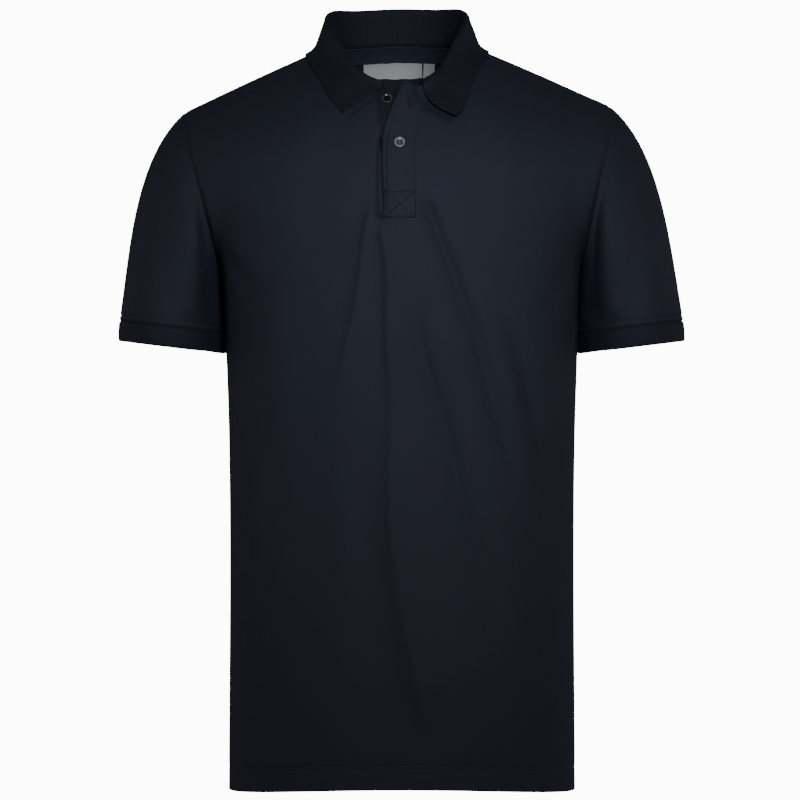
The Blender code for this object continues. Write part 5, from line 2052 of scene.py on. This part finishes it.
@dataclass
class Collar:
    """The ribbed collar: one strip, sewn to the neck edge and rolled over."""

    wardrobe: Wardrobe
    torso: Torso
    columns: int = 21
    roll_radius: float = 2.8
    fall_hollow: float = 1.2
    left_tip: TipShift = TipShift(5.5, 8.0, 5.5, 8.0)
    right_tip: TipShift = TipShift(0.0, 1.0, 0.0, 1.5)
    outer_tuck: float = 2.5
    bend_end: int = 7
    fall_clearances: tuple[float, ...] = (3.2, 2.4, 1.4, 1.0, 1.0)
    length: float = 420.0
    height: float = 84.0

    def neck_edge(self, end_x: float, side: float) -> tuple[Array, Array]:
        """The neck seam, from the middle of the back to the collar's front end.

        Args:
            end_x: Where that end is sewn.
            side: 1 on the wearer's left, -1 on the right.

        Returns:
            Points and the cloth's normals there.
        """
        form = self.torso.form
        end_across = float(form.across_at(end_x, FRONT_NECK_LEVEL))
        back_turn = np.linspace(0.0, 0.5 * math.pi, 40)
        front_turn = np.linspace(0.5 * math.pi, math.asin(abs(end_across) / form.neck_across), 60)[1:]
        back_across = form.neck_across * np.sin(back_turn)
        front_across = form.neck_across * np.sin(front_turn)
        across = np.concatenate((back_across, front_across)) * side
        back_level = 2.0 - form.neck_level(back_across, BACK_NECK_LEVEL)
        level = np.concatenate((back_level, form.neck_level(front_across, FRONT_NECK_LEVEL)))
        step = 0.004
        along_row = form.point(across + step, level) - form.point(across - step, level)
        along_level = form.point(across, level + step) - form.point(across, level - step)
        return form.point(across, level), unit(np.cross(along_row, along_level))

    def half(self, side: Side, end_x: float, tip: TipShift) -> Array:
        """Sections of one half of the collar, from the middle of the back to its front end.

        Args:
            side: The wearer's left or right.
            end_x: Where its front end is sewn.
            tip: Where its front corner lies.

        Returns:
            Rows from the seam over the roll to the outer edge.
        """
        shares = np.linspace(0.0, 1.0, self.columns)
        line, cloth = self.neck_edge(end_x, side.value)
        run = run_lengths(line, 0)
        at = shares * run[-1]
        base = points_at(line, run, at)
        cloth_up = unit(points_at(cloth, run, at))
        heading = unit(np.gradient(base, axis=0))
        out = unit(np.cross(heading, np.array((0.0, 0.0, 1.0)))) * np.array((1.0, 1.0, 0.0))
        out = toward(unit(out), base)
        values = row_spline(COLLAR_ROWS, shares)
        stand, lean = values[:, 0:1], values[:, 1:2]
        edge = values[:, 2:5] * np.array((side.value, 1.0, 1.0))
        front_share = smooth_share((shares - 0.55) / 0.45)[:, None]
        edge = edge + np.array((0.0, -tip.lift, -tip.drop)) * front_share
        swing = (tip.out + self.outer_tuck) * smooth_share((shares - 0.8) / 0.2)
        edge[:, 0] += side.value * (swing - self.outer_tuck * smooth_share((shares - 0.45) / 0.3))
        up = np.array((0.0, 0.0, 1.0))
        base = base + cloth_up * (LAYER_GAP + 0.1)
        hub = base + up * stand + out * lean - up * self.roll_radius
        bend = []
        for number in range(5):
            turn = math.radians(45.0 * number)
            bend.append(hub + (up * math.sin(turn) - out * math.cos(turn)) * self.roll_radius)
        bow = out * (0.035 * stand)
        rise = []
        for share in (0.0, 0.35, 0.7):
            rise.append(base + (bend[0] - base) * share + bow * math.sin(math.pi * share))
        near_tip = smooth_share((shares - 0.76) / 0.24)[:, None]
        front_bow = np.array((-side.value, -0.55, -0.4)) * tip.bow * near_tip
        drop = []
        for share in (0.2, 0.45, 0.72, 1.0):
            sag = (out * self.fall_hollow - front_bow) * math.sin(math.pi * share)
            drop.append(bend[-1] + (edge - bend[-1]) * share - sag)
        return np.stack(rise + bend + drop, axis=0)

    def clear(self, fall: Array, band: Array, band_normals: Array) -> Array:
        """Lifts the fall clear of the panels and of the upper band.

        Args:
            fall: Its rows, from the roll to the outer edge.
            band: Points of the upper band.
            band_normals: Their normals.

        Returns:
            The lifted rows.
        """
        form = self.torso.form
        across = np.linspace(-0.97, 0.97, 90)[None, :]
        level = np.linspace(0.74, 1.26, 90)[:, None]
        cloth = form.point(across, level)
        inside = np.abs(across) < form.neck_across * 1.02
        hole = (level > FRONT_NECK_LEVEL - 0.01) & (level < 2.0 - BACK_NECK_LEVEL + 0.005) & inside
        samples = np.concatenate((cloth[~hole], band.reshape(-1, 3)))
        sample_normals = np.concatenate((grid_normals(cloth)[~hole], band_normals.reshape(-1, 3)))
        spare = RIB_WALL + np.repeat(self.fall_clearances, fall.shape[1])
        flat = fall.reshape(-1, 3)
        for _ in range(2):
            gaps = flat[:, None, :] - samples[None]
            nearest = np.argmin((gaps ** 2).sum(axis=2), axis=1)
            height = ((flat - samples[nearest]) * sample_normals[nearest]).sum(axis=1)
            flat = flat + sample_normals[nearest] * np.maximum(spare - height, 0.0)[:, None]
        return flat.reshape(fall.shape)

    def build(self, band: Array, band_normals: Array) -> None:
        """Builds the collar.

        Args:
            band: Points of the upper band, which the collar clears.
            band_normals: Their normals.
        """
        left = self.half(Side.LEFT, LEFT_COLLAR_END_X, self.left_tip)
        right = self.half(Side.RIGHT, RIGHT_COLLAR_END_X, self.right_tip)
        strip = np.concatenate((left[:, :0:-1], right), axis=1)
        strip[self.bend_end :] = self.clear(strip[self.bend_end :], band[::6, ::6], band_normals[::6, ::6])
        rows = end_spaced(self.height, COLLAR_EDGE_STEPS, COLLAR_EDGE_STEPS, 52)
        columns = end_spaced(self.length, COLLAR_EDGE_STEPS, COLLAR_EDGE_STEPS, 200)
        face = refine(strip[::-1], rows, columns)
        normals = grid_normals(face)
        ripple = cloth_ripple(face, 70.0, 1.9) * 0.3 * smooth_share(1.0 - rows / 0.5)[:, None]
        face = face + normals * ripple[..., None]
        normals = grid_normals(face)
        reverse = face - normals * RIB_WALL
        for index, share in (((0,), 0.6), ((1,), 0.15), ((slice(None), 0), 0.6), ((slice(None), -1), 0.6)):
            pinch(face, reverse, index, share)
        piece = ClothWall("ribbed_collar", face, reverse).build(self.wardrobe.rib)
        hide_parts("collar")


@dataclass
class NeckBack:
    """The tape over the back neck seam and the two bare labels below it."""

    wardrobe: Wardrobe
    torso: Torso
    tape_width: float = 24.0
    tape_level_per_mm: float = 0.00085
    tape_turn: float = 0.35
    main_label: Label = Label(-36.0, 26.6, -9.6, -25.6, 0.0)
    size_label: Label = Label(28.0, 40.0, -10.6, -25.8, -4.0)
    label_wave: float = 1.1

    def build(self) -> None:
        """Builds the tape, the labels and their stitches."""
        form = self.torso.form
        turn = np.linspace(self.tape_turn, -self.tape_turn, 90) * math.pi
        rows = []
        for share in 1.0 - 0.98 * end_spaced(self.tape_width, (0.0, 0.3, 0.8), (0.0, 0.3, 0.8), 12):
            wide = form.neck_across * (1.0 + share * self.tape_width / NECK_HALF_WIDTH)
            deep = (1.0 - BACK_NECK_LEVEL) + share * self.tape_width * self.tape_level_per_mm
            rows.append(form.point(wide * np.sin(turn), 1.0 + deep * np.cos(turn)))
        points = settle(np.stack(rows, axis=0), self.torso.back_tree)
        normals = grid_normals(points)
        face = points - normals * TAPE_GAP
        reverse = face - normals * TAPE_WALL
        pinch(face, reverse, (0,), 0.6)
        pinch(face, reverse, (-1,), 0.6)
        # The tape's lightened navy is painted light.
        piece = ClothWall("back_neck_tape", face, reverse).build(self.wardrobe.tape)
        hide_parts("neck_tape")
        stitches = Seam("tape_stitches", stitch=2.2, space=0.5, thickness=0.4)
        for row in (2, -3):
            stitches.run(reverse[row], -normals[row])
        stitches.build(self.wardrobe.thread)
        self.add_label("main", self.main_label)
        self.add_label("size", self.size_label)

    def add_label(self, name: str, label: Label) -> None:
        """Adds a bare label on the inner face of the back; the main label gets a stitch row at each end.

        Args:
            name: main or size.
            label: Its place.
        """
        width = label.right - label.left
        height = label.top - label.bottom
        ends = (0.0, 0.3)
        right = (0.5 - end_spaced(width, ends, ends, max(6, int(width / 1.5))))[None, :] * width
        up = (end_spaced(height, ends, ends, 12) - 0.5)[:, None] * height
        turn = math.radians(label.turn)
        x = 0.5 * (label.left + label.right) + right * math.cos(turn) - up * math.sin(turn)
        z = 0.5 * (label.top + label.bottom) + right * math.sin(turn) + up * math.cos(turn)
        z = z + self.label_wave * np.sin(0.23 * right + 0.8) * np.cos(0.11 * right) * (up / height)
        across, level = self.torso.form.place(x, z, back=True)
        points = settle(self.torso.form.point(across, level), self.torso.back_tree)
        normals = grid_normals(points)
        face = points - normals * INNER_GAP
        bow = 0.5 * np.sin(math.pi * (0.5 + right / width)) * np.cos(9.0 * right / width + 0.6)
        face = face - normals * np.abs(bow)[..., None]
        reverse = face - normals * LABEL_WALL
        piece = ClothWall(f"{name}_label", face, reverse).build(self.wardrobe.label)
        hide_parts(f"label_{name}")
        if name == "main":
            stitches = Seam("label_stitches", stitch=1.6, space=0.4, thickness=0.32)
            for column in (3, -4):
                stitches.run(reverse[:, column], -normals[:, column])
            stitches.build(self.wardrobe.pale_thread)


# ------------------------------
# The studio.


@dataclass(frozen=True)
class Softbox:
    """A large square lamp. spread is the angle in degrees that its grid lets the light out in.

    A lamp that isn't mirrored gives no highlights.
    """

    name: str
    place: tuple[float, float, float]
    aim: tuple[float, float, float]
    size: float
    power: float
    spread: float = 180.0
    mirrored: bool = True


@dataclass
class Studio:
    """Camera, soft lamps, a pale floor and pale surroundings."""

    camera_place: tuple[float, float, float] = (0.003, -4.13, -0.366)
    lens: float = 180.0
    floor_z: float = -1.45
    floor_radius: float = 1.7
    floor_glow: float = 3.0
    shown_brightness: float = 12.0
    surround_light: float = 0.05
    lamps: tuple[Softbox, ...] = (
        Softbox("key", (0.16, -1.45, 0.04), (-0.01, 0.0, -0.18), 0.4, 2.5, 76.0),
        Softbox("left_fill", (-2.1, -0.9, -0.1), (-0.06, 0.0, -0.2), 1.0, 4.8),
        Softbox("right_fill", (2.2, -0.8, -0.1), (0.06, 0.0, -0.25), 1.0, 5.0),
        Softbox("left_side", (-2.4, 1.4, 0.0), (0.0, 0.0, -0.35), 1.0, 2.5),
        Softbox("right_side", (2.4, 1.4, 0.0), (0.0, 0.0, -0.35), 1.0, 2.5),
        Softbox("back", (0.15, 3.0, -0.25), (0.0, 0.0, -0.35), 1.6, 45.0, mirrored=False),
    )

    def build(self) -> None:
        """Sets the studio up."""
        camera_data = bpy.data.cameras.new("camera")
        camera_data.lens = self.lens
        camera_data.sensor_width = 36.0
        camera = put_in_scene("camera", camera_data)
        camera.location = self.camera_place
        camera.rotation_euler = (math.radians(90.0), 0.0, 0.0)
        bpy.context.scene.camera = camera
        for lamp in self.lamps:
            data = bpy.data.lights.new(lamp.name, "AREA")
            data.shape = "SQUARE"
            data.size = lamp.size
            data.energy = lamp.power
            data.spread = math.radians(lamp.spread)
            light = put_in_scene(lamp.name, data)
            light.location = lamp.place
            heading = Vector(lamp.aim) - Vector(lamp.place)
            light.rotation_euler = heading.to_track_quat("-Z", "Y").to_euler()
            light.visible_camera = False
            light.visible_glossy = lamp.mirrored
        self.add_floor()
        self.add_surroundings()

    def add_floor(self) -> None:
        """A plain pale floor, which looks brighter than the light it casts."""
        work = bmesh.new()
        bmesh.ops.create_circle(work, cap_ends=True, segments=96, radius=self.floor_radius)
        bmesh.ops.translate(work, vec=(0.0, 0.0, self.floor_z), verts=work.verts[:])
        mesh = new_mesh("floor", work)
        pale, kit, surface = new_material("pale_floor")
        seen = kit.math("MULTIPLY", kit.add("ShaderNodeLightPath").outputs["Is Camera Ray"], self.floor_glow)
        kit.fill(surface, {
            "Base Color": (0.86, 0.86, 0.86, 1.0),
            "Roughness": 0.9,
            "Emission Color": WHITE,
            "Emission Strength": seen,
        })
        mesh.materials.append(pale)
        put_in_scene("floor", mesh)

    def add_surroundings(self) -> None:
        """White surroundings that light the shirt less than they show."""
        world = bpy.data.worlds.new("surroundings")
        bpy.context.scene.world = world
        world.use_nodes = True
        world.node_tree.nodes.clear()
        kit = NodeKit(world.node_tree)
        seen, cast = (
            kit.add("ShaderNodeBackground", {"Color": WHITE, "Strength": strength}).outputs[0]
            for strength in (self.shown_brightness, self.surround_light)
        )
        shown = kit.add("ShaderNodeLightPath").outputs["Is Camera Ray"]
        mixed = kit.add("ShaderNodeMixShader", {0: shown, 1: cast, 2: seen}).outputs[0]
        kit.add("ShaderNodeOutputWorld", {"Surface": mixed})


def main() -> None:
    """Dresses the shirt and sets the studio up."""
    logging.basicConfig(level=logging.INFO, format="%(name)s: %(message)s")
    Studio().build()
    wardrobe = Wardrobe()
    torso = Torso(wardrobe, TorsoForm())
    Sleeves(wardrobe, torso).build()
    torso.build()
    opening = NeckOpening(wardrobe, torso)
    opening.build()
    Collar(wardrobe, torso).build(opening.upper_face, opening.upper_normals)
    NeckBack(wardrobe, torso).build()
    for piece in bpy.context.scene.objects:
        if piece.type == "MESH":
            LOG.info("%s: %d faces", piece.name, len(piece.data.polygons))


if __name__ == "__main__":
    main()
